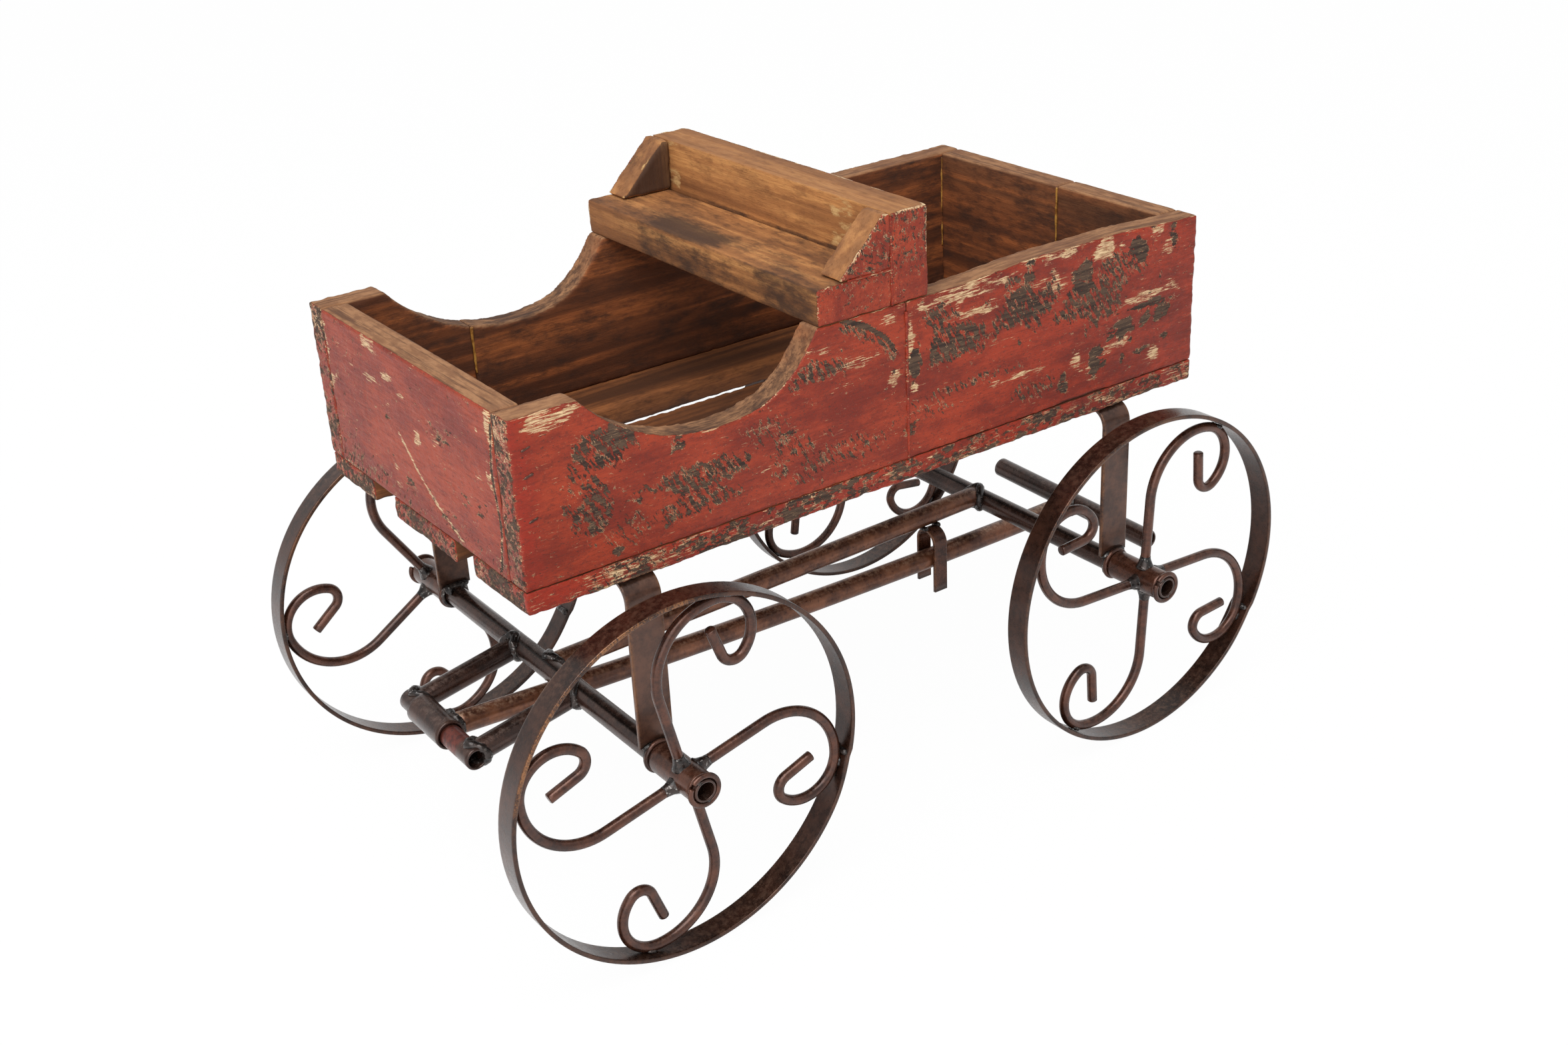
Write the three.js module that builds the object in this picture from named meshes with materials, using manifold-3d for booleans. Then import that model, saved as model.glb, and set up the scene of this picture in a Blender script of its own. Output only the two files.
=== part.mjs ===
// Small garden wagon: a red wooden buckboard box with a seat, on a welded tube frame with four
// scroll-spoked iron wheels and a pull handle that folds back under the box.
// Millimetres. +X points to the front (the handle's pivot), +Y to the left, +Z up.
// The origin is on the ground, midway between the two axles.

import * as THREE from 'three';
import { mergeVertices } from 'three/addons/utils/BufferGeometryUtils.js';
import Module from 'manifold-3d';

const wasm = await Module();
wasm.setup();

// ---- Driving dimensions -------------------------------------------------------------------

const gap = 0.3; // left between any two pieces that touch

const wheel = {
  radius: 127, // 10 inch wheel
  baseHalf: 201.6, // axle to the middle of the wagon
  trackHalf: 174.5, // middle of the wagon to the middle of a rim
  rimWidth: 18,
  rimThick: 3,
};

const tube = { outer: 8, inner: 6.1 }; // radii of the 16 mm frame tube
const pipe = { outer: 10.65, inner: 8.5 }; // radii of the 21.3 mm hub and sleeve pipe
const rod = 3.6; // radius of the spoke rod
const flat = { width: 25.4, thick: 3, bend: 14 }; // flat bar of the straps, and its outer bend
const clipBar = { width: 12.7, thick: 2.6, play: 0.6 }; // flat bar of the clip, and its free play

const box = {
  halfLength: 278.5,
  halfWidth: 138.6,
  board: 19.6, // thickness of the upright boards
  floorBottom: 252.5,
  floorThick: 15.5,
  top: 377.5,
  rightSlit: [-73, -41], // the open slits between the floor planks, from right to left
  leftSlit: [46, 70],
};

const seat = {
  plankFront: 59,
  plankThick: 24,
  backThick: 29.5,
  top: 438,
  earThick: 23,
  earFoot: 42, // front of an ear where it stands on the plank
  earShoulder: 6, // front of an ear at its flat top
};

// The scoop is the buggy cut-out in the top edge of both sides, in front of the seat. Two Bezier
// curves run down from its front and back corners and meet level at its lowest point.
const scoop = {
  front: { cornerX: 232, shoulderX: 214, shoulderZ: 356, floorX: 182 },
  back: { cornerX: 60, shoulderX: 78, shoulderZ: 349, floorX: 94 },
  lowestX: 137,
  lowestZ: 333.4,
};

const yoke = { x: 285, z: 111.5, armY: 42, halfLength: 50 };
const handle = {
  sleeveRight: -33.3, // the two ends of the sleeve on the pin
  sleeveLeft: 12.2,
  endX: -297, // where the long tube meets the middle of the grip
  endZ: 95.7,
  sagZ: 92.7, // height of the control point that bows the long tube
  gripHalf: 92,
  gripSkew: -2.2, // degrees by which the grip is out of square
};
const reach = { front: [-1.5, 127], rear: [-7.5, 130.5] }; // Y and Z of its centre line
const clip = { x: -144.6, bottom: 70, top: 122 };
const screw = {
  radius: 2.2,
  headRadius: 4.4,
  headThick: 2.2,
  crownRadius: 3.1, // the flat top of the domed head
  crownDrop: 0.9, // from the edge of the head down to where its side starts to dome
  length: 14,
  point: 4,
};

// A spoke leaves its hub nearly straight out, bends over in two wide arcs and ends in a tight curl.
const scrollRuns = {
  start: [10.7, 3.6], // from the hub's centre, along the spoke and to its side
  heading: 12.8, // degrees
  runs: [
    { length: 50.5, steps: 1 },
    { radius: 45.3, turn: 103.6, steps: 8 },
    { radius: 25.7, turn: 133.5, steps: 8 },
    { radius: 9.5, turn: 116, steps: 6 },
    { length: 22, steps: 1 },
  ],
};

const axleEnd = 196.8; // half the length of an axle
const strapOuter = 142; // outer face of a strap's leg
const axleRing = {
  outer: 12.2,
  thick: 3.8,
  opening: 16, // degrees left open between its ends
  collarTurn: 200, // where the opening faces, in degrees from the front
  retainingTurn: 35,
};
const rearJointY = 15; // the rear board is glued up from two pieces here
const leftJointX = -11; // butt joint of the left side, under the seat back
const rightJointX = 171.5; // butt joint of the right side, in the scoop

// ---- Colours ------------------------------------------------------------------------------

const redPaint = new THREE.MeshStandardMaterial({ color: 0x9b4232, roughness: 0.75 });
const bareWood = new THREE.MeshStandardMaterial({ color: 0x7d5a38, roughness: 0.8 });
const iron = new THREE.MeshStandardMaterial({ color: 0x4a3833, roughness: 0.45, metalness: 0.6 });
const rubbedIron = new THREE.MeshStandardMaterial({ color: 0x6b4436, roughness: 0.6, metalness: 0.5 });
const screwSteel = new THREE.MeshStandardMaterial({ color: 0x6f6c66, roughness: 0.4, metalness: 0.9 });

const wagon = new THREE.Group();

function add(name, geometry, material, parent = wagon) {
  const mesh = new THREE.Mesh(geometry, material);
  mesh.name = name;
  parent.add(mesh);
  return mesh;
}

// ---- Solids -------------------------------------------------------------------------------

function toManifold(geometry) {
  const bare = geometry.clone();
  bare.deleteAttribute('normal');
  bare.deleteAttribute('uv');
  const merged = mergeVertices(bare, 1e-4);
  return new wasm.Manifold(new wasm.Mesh({
    numProp: 3,
    vertProperties: new Float32Array(merged.attributes.position.array),
    triVerts: new Uint32Array(merged.index.array),
  }));
}

function fromManifold(solid) {
  const mesh = solid.getMesh();
  const geometry = new THREE.BufferGeometry();
  geometry.setAttribute('position', new THREE.BufferAttribute(mesh.vertProperties, 3));
  geometry.setIndex(new THREE.BufferAttribute(mesh.triVerts, 1));
  geometry.computeVertexNormals();
  return geometry;
}

function cut(geometry, ...cutters) {
  let solid = toManifold(geometry);
  for (const cutter of cutters) solid = solid.subtract(toManifold(cutter));
  return fromManifold(solid);
}

// A board from its lowest to its highest corner.
function board(low, high) {
  const geometry = new THREE.BoxGeometry(high[0] - low[0], high[1] - low[1], high[2] - low[2]);
  return geometry.translate((low[0] + high[0]) / 2, (low[1] + high[1]) / 2, (low[2] + high[2]) / 2);
}

// A profile in X and Z, made solid from yLow to yHigh.
function slab(shape, yLow, yHigh) {
  const geometry = new THREE.ExtrudeGeometry(shape, {
    depth: yHigh - yLow,
    bevelEnabled: false,
    curveSegments: 10,
  });
  return geometry.rotateX(Math.PI / 2).translate(0, yHigh, 0);
}

// A straight pipe between two points, open at both ends.
function pipeBetween(from, to, outer, inner, sides = 20) {
  const start = new THREE.Vector3(...from);
  const along = new THREE.Vector3(...to).sub(start);
  const length = along.length();
  const wall = [
    new THREE.Vector2(inner, 0),
    new THREE.Vector2(outer, 0),
    new THREE.Vector2(outer, length),
    new THREE.Vector2(inner, length),
    new THREE.Vector2(inner, 0),
  ];
  const turn = new THREE.Quaternion().setFromUnitVectors(new THREE.Vector3(0, 1, 0), along.normalize());
  return new THREE.LatheGeometry(wall, sides).applyQuaternion(turn).translate(...from);
}

// A bar the size of a screw's hole, on the wagon's centre line.
function upright(x, zLow, zHigh) {
  const radius = screw.radius + gap;
  return new THREE.CylinderGeometry(radius, radius, zHigh - zLow, 16)
    .rotateX(Math.PI / 2).translate(x, 0, (zLow + zHigh) / 2);
}

// A round bar along Y, used to cope the ends of tubes that meet an axle, the pin or the sleeve.
function roundBar(x, z, radius, halfLength) {
  return new THREE.CylinderGeometry(radius, radius, 2 * halfLength, 24).translate(x, 0, z);
}

// ---- Wooden box ---------------------------------------------------------------------------

const screwSeat = box.floorBottom - flat.thick - 2 * gap; // underside of a strap, where a head sits
const sideBottom = box.floorBottom + box.floorThick + gap;
const insideY = box.halfWidth - box.board;
const insideX = box.halfLength - box.board;

function wholeSide() {
  const { front, back, lowestX, lowestZ } = scoop;
  const shape = new THREE.Shape();
  shape.moveTo(-box.halfLength, sideBottom);
  shape.lineTo(box.halfLength, sideBottom);
  shape.lineTo(box.halfLength, box.top);
  shape.lineTo(front.cornerX, box.top);
  shape.bezierCurveTo(front.shoulderX, front.shoulderZ, front.floorX, lowestZ, lowestX, lowestZ);
  shape.bezierCurveTo(back.floorX, lowestZ, back.shoulderX, back.shoulderZ, back.cornerX, box.top);
  shape.lineTo(-box.halfLength, box.top);
  shape.closePath();
  return shape;
}

// Each side is two lengths of board butted end to end at jointX.
function sideBoards(name, sign, jointX) {
  const inner = sign * insideY;
  const outer = sign * box.halfWidth;
  const solid = slab(wholeSide(), Math.min(inner, outer), Math.max(inner, outer));
  const far = 2 * box.halfLength;
  const ahead = board([jointX - gap / 2, -far, 0], [far, far, far]);
  const behind = board([-far, -far, 0], [jointX + gap / 2, far, far]);
  add(`${name}_front`, cut(solid, behind), redPaint);
  add(`${name}_rear`, cut(solid, ahead), redPaint);
}

function endBoards() {
  const edge = insideY - gap;
  add('front_board', board([insideX, -edge, sideBottom], [box.halfLength, edge, box.top]), redPaint);
  const rearX = [-box.halfLength, -insideX];
  add('rear_board_left',
    board([rearX[0], rearJointY + gap / 2, sideBottom], [rearX[1], edge, box.top]), redPaint);
  add('rear_board_right',
    board([rearX[0], -edge, sideBottom], [rearX[1], rearJointY - gap / 2, box.top]), redPaint);
}

// Three lengthwise planks with open slits between them. The middle one has the screws' pilot holes.
function floorPlanks() {
  const planks = {
    floor_plank_left: [box.leftSlit[1], box.halfWidth],
    floor_plank_middle: [box.rightSlit[1], box.leftSlit[0]],
    floor_plank_right: [-box.halfWidth, box.rightSlit[0]],
  };
  const floorTop = box.floorBottom + box.floorThick;
  const pilotTop = screwSeat + screw.length + gap;
  const pilots = [-1, 1].map((end) => upright(end * wheel.baseHalf, box.floorBottom - 1, pilotTop));
  for (const [name, [right, left]] of Object.entries(planks)) {
    const plank = board([-box.halfLength, right, box.floorBottom], [box.halfLength, left, floorTop]);
    const screwed = name === 'floor_plank_middle';
    add(name, screwed ? cut(plank, ...pilots) : plank, bareWood);
  }
}

function seatPieces() {
  const onSides = box.top + gap;
  const plankTop = onSides + seat.plankThick;
  const side = box.halfWidth;
  add('seat_plank', board([gap, -side, onSides], [seat.plankFront, side, plankTop]), bareWood);
  add('seat_back', board([-seat.backThick, -side, onSides], [0, side, seat.top]), bareWood);
  const ear = new THREE.Shape();
  ear.moveTo(gap, plankTop + gap);
  ear.lineTo(seat.earFoot, plankTop + gap);
  ear.lineTo(seat.earShoulder, seat.top);
  ear.lineTo(gap, seat.top);
  ear.closePath();
  add('seat_ear_left', slab(ear, side - seat.earThick, side), redPaint);
  add('seat_ear_right', slab(ear, -side, -side + seat.earThick), redPaint);
}

// ---- Running gear -------------------------------------------------------------------------

const axleZ = wheel.radius;
const tubeCope = tube.outer + gap;

function axle(name, x) {
  const geometry = pipeBetween([x, -axleEnd, axleZ], [x, axleEnd, axleZ], tube.outer, tube.inner, 24);
  add(name, geometry, iron);
}

// An upside-down U of flat bar: its legs stand on the axle and its bridge carries the floor.
function strap(name, x) {
  const { bend } = flat;
  const top = box.floorBottom - gap;
  const foot = axleZ + tube.outer + gap;
  const outer = strapOuter;
  const inner = outer - flat.thick;
  const shape = new THREE.Shape();
  shape.moveTo(-outer, foot);
  shape.lineTo(-outer, top - bend);
  shape.absarc(-outer + bend, top - bend, bend, Math.PI, Math.PI / 2, true);
  shape.lineTo(outer - bend, top);
  shape.absarc(outer - bend, top - bend, bend, Math.PI / 2, 0, true);
  shape.lineTo(outer, foot);
  shape.lineTo(inner, foot);
  shape.lineTo(inner, top - bend);
  shape.absarc(outer - bend, top - bend, bend - flat.thick, 0, Math.PI / 2, false);
  shape.lineTo(-outer + bend, top - flat.thick);
  shape.absarc(-outer + bend, top - bend, bend - flat.thick, Math.PI / 2, Math.PI, false);
  shape.lineTo(-inner, foot);
  shape.closePath();
  const bar = new THREE.ExtrudeGeometry(shape, {
    depth: flat.width,
    bevelEnabled: false,
    curveSegments: 6,
  });
  // The outline is drawn across the wagon: its X becomes Y, its Y becomes Z.
  bar.applyMatrix4(new THREE.Matrix4().makeBasis(
    new THREE.Vector3(0, 1, 0), new THREE.Vector3(0, 0, 1), new THREE.Vector3(1, 0, 0)));
  bar.translate(x - flat.width / 2, 0, 0);
  add(name, cut(bar, upright(x, top - 2 * flat.thick, top + flat.thick)), iron);
}

// A round-headed wood screw goes up through each strap into the middle floor plank.
function strapScrew(name, x) {
  const headBottom = screwSeat - screw.headThick;
  const tip = screwSeat + screw.length;
  const outline = [
    new THREE.Vector2(0, headBottom),
    new THREE.Vector2(screw.crownRadius, headBottom),
    new THREE.Vector2(screw.headRadius, screwSeat - screw.crownDrop),
    new THREE.Vector2(screw.headRadius, screwSeat),
    new THREE.Vector2(screw.radius, screwSeat),
    new THREE.Vector2(screw.radius, tip - screw.point),
    new THREE.Vector2(0, tip),
  ];
  const geometry = new THREE.LatheGeometry(outline, 16).rotateX(Math.PI / 2).translate(x, 0, 0);
  add(name, geometry, screwSteel);
}

// The reach is the tube that ties the two axles together, butted to both.
function reachTube() {
  const x = wheel.baseHalf;
  const geometry = pipeBetween([x, ...reach.front], [-x, ...reach.rear], tube.outer, tube.inner);
  const axles = [x, -x].map((at) => roundBar(at, axleZ, tubeCope, 60));
  add('reach_tube', cut(geometry, ...axles), iron);
}

// Two arms slope forward and down from the front axle and hold the pin that the handle turns on.
function yokePieces() {
  for (const [name, sign] of [['yoke_arm_left', 1], ['yoke_arm_right', -1]]) {
    const y = sign * yoke.armY;
    const arm = pipeBetween([wheel.baseHalf, y, axleZ], [yoke.x, y, yoke.z], tube.outer, tube.inner);
    const atAxle = roundBar(wheel.baseHalf, axleZ, tubeCope, 80);
    const atPin = roundBar(yoke.x, yoke.z, tubeCope, 80);
    add(name, cut(arm, atAxle, atPin), iron);
  }
  const end = yoke.halfLength;
  add('yoke_pin', pipeBetween([yoke.x, -end, yoke.z], [yoke.x, end, yoke.z],
    tube.outer, tube.inner, 24), rubbedIron);
}

// ---- Handle -------------------------------------------------------------------------------

function handlePieces() {
  const { sleeveRight, sleeveLeft } = handle;
  add('handle_sleeve', pipeBetween([yoke.x, sleeveRight, yoke.z], [yoke.x, sleeveLeft, yoke.z],
    pipe.outer, pipe.inner, 24), iron);

  // The long tube bows down a little between the sleeve and the grip.
  const bow = new THREE.QuadraticBezierCurve3(
    new THREE.Vector3(yoke.x, 0, yoke.z),
    new THREE.Vector3((yoke.x + handle.endX) / 2, 0, handle.sagZ),
    new THREE.Vector3(handle.endX, 0, handle.endZ));
  const ring = new THREE.Shape().absarc(0, 0, tube.outer, 0, 2 * Math.PI, false);
  ring.holes.push(new THREE.Path().absarc(0, 0, tube.inner, 0, 2 * Math.PI, true));
  const long = new THREE.ExtrudeGeometry(ring, {
    steps: 8,
    extrudePath: bow,
    bevelEnabled: false,
    curveSegments: 10,
  });
  const atSleeve = roundBar(yoke.x, yoke.z, pipe.outer + gap, 40);
  const atGrip = roundBar(0, 0, tubeCope, 40)
    .rotateZ(THREE.MathUtils.degToRad(handle.gripSkew))
    .translate(handle.endX, 0, handle.endZ);
  add('handle_tube', cut(long, atSleeve, atGrip), iron);

  const skew = new THREE.Vector2(0, handle.gripHalf)
    .rotateAround(new THREE.Vector2(), THREE.MathUtils.degToRad(handle.gripSkew));
  add('handle_grip', pipeBetween(
    [handle.endX - skew.x, -skew.y, handle.endZ],
    [handle.endX + skew.x, skew.y, handle.endZ],
    tube.outer, tube.inner, 24), iron);
}

// An upside-down U beside the bottom of the reach holds the folded handle between its legs.
function handleClip() {
  const inner = tube.outer + clipBar.play;
  const outer = inner + clipBar.thick;
  const archZ = clip.top - outer;
  const shape = new THREE.Shape();
  shape.moveTo(-outer, clip.bottom);
  shape.lineTo(-outer, archZ);
  shape.absarc(0, archZ, outer, Math.PI, 0, true);
  shape.lineTo(outer, clip.bottom);
  shape.lineTo(inner, clip.bottom);
  shape.lineTo(inner, archZ);
  shape.absarc(0, archZ, inner, 0, Math.PI, false);
  shape.lineTo(-inner, clip.bottom);
  shape.closePath();
  const bar = new THREE.ExtrudeGeometry(shape, {
    depth: clipBar.width,
    bevelEnabled: false,
    curveSegments: 10,
  });
  bar.applyMatrix4(new THREE.Matrix4().makeBasis(
    new THREE.Vector3(0, 1, 0), new THREE.Vector3(0, 0, 1), new THREE.Vector3(1, 0, 0)));
  bar.translate(clip.x - clipBar.width / 2, 0, 0);
  add('handle_clip', bar, iron);
}

// ---- Wheels -------------------------------------------------------------------------------

// The centre line of a scroll spoke: straight runs, and arcs that all turn the same way. It is laid
// out from a hub at the origin towards -X, in the plane of the wheel.
class ScrollPath extends THREE.Curve {
  constructor() {
    super();
    this.start = new THREE.Vector2(...scrollRuns.start);
    this.heading = THREE.MathUtils.degToRad(scrollRuns.heading);
    this.runs = scrollRuns.runs.map(
      (run) => ({ ...run, turn: THREE.MathUtils.degToRad(run.turn ?? 0) }));
    this.steps = this.runs.reduce((sum, run) => sum + run.steps, 0);
  }

  // Sections are spaced by steps, not by length, so that the tight curl is as smooth as the rest.
  getUtoTmapping(u) {
    return u;
  }

  getPoint(t, target = new THREE.Vector3()) {
    let left = t * this.steps;
    let heading = this.heading;
    const at = this.start.clone();
    for (const run of this.runs) {
      const part = Math.min(left / run.steps, 1);
      if (run.radius) {
        const centre = at.clone().add(polar(run.radius, heading - Math.PI / 2));
        heading -= run.turn * part;
        at.copy(centre).add(polar(run.radius, heading + Math.PI / 2));
      } else {
        at.add(polar(run.length * part, heading));
      }
      left -= run.steps;
      if (left <= 0) break;
    }
    return target.set(-at.x, 0, at.y);
  }
}

function polar(radius, angle) {
  return new THREE.Vector2(radius * Math.cos(angle), radius * Math.sin(angle));
}

const scroll = new ScrollPath();
const rodSection = new THREE.Shape();
for (let i = 0; i < 8; i += 1) {
  const corner = polar(rod, (i * Math.PI) / 4);
  if (i === 0) rodSection.moveTo(corner.x, corner.y);
  else rodSection.lineTo(corner.x, corner.y);
}
rodSection.closePath();

function spoke() {
  return new THREE.ExtrudeGeometry(rodSection, {
    steps: scroll.steps,
    extrudePath: scroll,
    bevelEnabled: false,
  });
}

function rim() {
  const { radius, rimThick, rimWidth } = wheel;
  const section = [
    new THREE.Vector2(radius - rimThick, -rimWidth / 2),
    new THREE.Vector2(radius, -rimWidth / 2),
    new THREE.Vector2(radius, rimWidth / 2),
    new THREE.Vector2(radius - rimThick, rimWidth / 2),
    new THREE.Vector2(radius - rimThick, -rimWidth / 2),
  ];
  return new THREE.LatheGeometry(section, 48);
}

// A ring of bent rod on the axle, with its ends left a little apart.
function openRing(outer, inner, y, gapAt) {
  const opening = THREE.MathUtils.degToRad(axleRing.opening);
  const shape = new THREE.Shape();
  shape.absarc(0, 0, outer, opening / 2, 2 * Math.PI - opening / 2, false);
  shape.absarc(0, 0, inner, 2 * Math.PI - opening / 2, opening / 2, true);
  shape.closePath();
  const ring = new THREE.ExtrudeGeometry(shape, {
    depth: axleRing.thick,
    bevelEnabled: false,
    curveSegments: 9,
  });
  return ring.rotateZ(THREE.MathUtils.degToRad(gapAt)).rotateX(Math.PI / 2)
    .translate(0, y + axleRing.thick / 2, 0);
}

const spokeCount = 4;
const collarY = strapOuter + gap + axleRing.thick / 2;
const hubInner = collarY + axleRing.thick / 2 + gap;
const outerRingY = axleEnd - axleRing.thick / 2;
const hubOuter = outerRingY - axleRing.thick / 2 - gap;

// Each wheel was stopped at its own angle when the handle was last folded away.
const wheels = [
  { name: 'front_left', x: wheel.baseHalf, side: 1, phase: 0 },
  { name: 'front_right', x: wheel.baseHalf, side: -1, phase: 20 },
  { name: 'rear_left', x: -wheel.baseHalf, side: 1, phase: -16 },
  { name: 'rear_right', x: -wheel.baseHalf, side: -1, phase: -28 },
];

function buildWheel({ name, x, side, phase }) {
  const station = new THREE.Group();
  station.position.set(x, 0, axleZ);
  wagon.add(station);

  add(`rim_${name}`, rim().translate(0, side * wheel.trackHalf, 0), iron, station);
  const ends = [side * hubInner, side * hubOuter].sort((a, b) => a - b);
  const hub = pipeBetween([0, ends[0], 0], [0, ends[1], 0], pipe.outer, pipe.inner, 24);
  add(`hub_${name}`, hub, iron, station);

  // Seen from the wagon's left, the spokes of every wheel curl the same way.
  for (let i = 0; i < spokeCount; i += 1) {
    const spokeMesh = add(`spoke_${name}_${i + 1}`, spoke(), iron, station);
    spokeMesh.position.y = side * wheel.trackHalf;
    spokeMesh.rotation.y = THREE.MathUtils.degToRad(phase + (360 / spokeCount) * i);
  }

  // Both rings are welded to the axle and keep the hub between them.
  const { outer, collarTurn, retainingTurn } = axleRing;
  const bore = tube.outer + gap;
  add(`collar_${name}`, openRing(outer, bore, side * collarY, collarTurn), iron, station);
  const outerRing = openRing(outer, bore, side * outerRingY, retainingTurn);
  add(`retaining_ring_${name}`, outerRing, iron, station);
}

// ---- The wagon ----------------------------------------------------------------------------

sideBoards('left_side', 1, leftJointX);
sideBoards('right_side', -1, rightJointX);
endBoards();
floorPlanks();
seatPieces();

axle('axle_front', wheel.baseHalf);
axle('axle_rear', -wheel.baseHalf);
strap('strap_front', wheel.baseHalf);
strap('strap_rear', -wheel.baseHalf);
strapScrew('strap_screw_front', wheel.baseHalf);
strapScrew('strap_screw_rear', -wheel.baseHalf);
reachTube();
yokePieces();
handlePieces();
handleClip();
wheels.forEach(buildWheel);

export default wagon;
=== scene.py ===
"""Looks of a small red wooden wagon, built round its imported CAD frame.

Lengths are in metres once they reach Blender. Sizes that a person would measure on the wagon are
written in millimetres and multiplied by mm. +X is the front, +Y the left side and +Z up.
"""

import math
from itertools import product
from types import SimpleNamespace

import bpy
import numpy as np
from mathutils import Matrix, Vector, kdtree


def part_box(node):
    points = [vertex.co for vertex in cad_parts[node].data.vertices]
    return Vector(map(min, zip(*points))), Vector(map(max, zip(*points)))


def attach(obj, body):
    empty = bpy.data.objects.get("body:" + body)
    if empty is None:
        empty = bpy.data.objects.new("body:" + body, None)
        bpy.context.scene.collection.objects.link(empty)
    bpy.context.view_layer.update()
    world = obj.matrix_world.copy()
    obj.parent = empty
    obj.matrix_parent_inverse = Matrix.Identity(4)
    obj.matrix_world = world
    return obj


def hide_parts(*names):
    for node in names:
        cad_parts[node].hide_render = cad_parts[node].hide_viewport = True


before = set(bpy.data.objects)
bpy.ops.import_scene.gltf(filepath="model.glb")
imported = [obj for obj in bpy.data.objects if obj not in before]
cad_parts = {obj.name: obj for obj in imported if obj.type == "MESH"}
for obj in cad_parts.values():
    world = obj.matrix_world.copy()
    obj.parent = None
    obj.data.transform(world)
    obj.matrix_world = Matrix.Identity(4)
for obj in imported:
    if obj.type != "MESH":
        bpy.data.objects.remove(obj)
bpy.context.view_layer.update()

mm = 0.001
scene = bpy.context.scene
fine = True
voxel = (1.5 if fine else 3.0) * mm  # size of the cells that the boards are rebuilt from


# ---- Small helpers ------------------------------------------------------------------------


def srgb(red, green, blue):
    """A colour given as 0 to 255 sRGB values, as the linear colour that shaders use."""
    linear = []
    for value in (red, green, blue):
        share = value / 255
        linear.append(share / 12.92 if share <= 0.04045 else ((share + 0.055) / 1.055) ** 2.4)
    return (*linear, 1.0)


def smooth(value, low, high):
    """0 at low, 1 at high and a smooth step between them."""
    t = np.clip((value - low) / (high - low), 0, 1)
    return t * t * (3 - 2 * t)


def lattice_noise(points, size, seed):
    """Smooth noise from -1 to 1 whose lumps are about size metres across. The large numbers only
    scramble a cell's place and the seed into a value that looks random."""
    scaled = points / size
    base = np.floor(scaled).astype(np.int64)
    part = scaled - base
    part = part * part * (3 - 2 * part)
    total = np.zeros(len(points))
    for corner in product((0, 1), repeat=3):
        cell = base + np.array(corner)
        mixed = cell[:, 0] * 374761393 + cell[:, 1] * 668265263 + cell[:, 2] * 2147483629
        mixed = (mixed + seed * 974711) & 0xFFFFFFFF
        mixed = ((mixed ^ (mixed >> 13)) * 1274126177) & 0xFFFFFFFF
        value = ((mixed ^ (mixed >> 16)) & 0xFFFF) / 32767.5 - 1
        weight = np.where(np.array(corner) == 1, part, 1 - part).prod(axis=1)
        total += value * weight
    return total


def rough_noise(points, size, seed, octaves=3):
    """Several sizes of lattice noise on top of each other."""
    total = np.zeros(len(points))
    for octave in range(octaves):
        total += lattice_noise(points, size / 2**octave, seed + octave) / 1.8**octave
    return total


def read_points(mesh):
    points = np.empty(len(mesh.vertices) * 3, np.float32)
    mesh.vertices.foreach_get("co", points)
    return points.reshape(-1, 3).astype(float)


def read_normals(mesh):
    normals = np.empty(len(mesh.vertices) * 3, np.float32)
    mesh.vertex_normals.foreach_get("vector", normals)
    return normals.reshape(-1, 3).astype(float)


def write_points(mesh, points):
    mesh.vertices.foreach_set("co", points.astype(np.float32).ravel())
    mesh.update()


def set_values(mesh, name, values):
    """Stores one number per vertex for the materials to read."""
    attribute = mesh.attributes.new(name, "FLOAT", "POINT")
    attribute.data.foreach_set("value", np.asarray(values, np.float32))


def set_vectors(mesh, name, vectors):
    attribute = mesh.attributes.new(name, "FLOAT_VECTOR", "POINT")
    attribute.data.foreach_set("vector", np.asarray(vectors, np.float32).ravel())


def finish_piece(obj, body, material, slot, *nodes):
    """Gives a piece its material and its CAD body, and lets it stand for its CAD nodes."""
    obj.data.materials.clear()
    obj.data.materials.append(material)
    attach(obj, body)
    if nodes:
        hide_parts(*nodes)
    return obj


# ---- Shader helpers -----------------------------------------------------------------------


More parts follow.
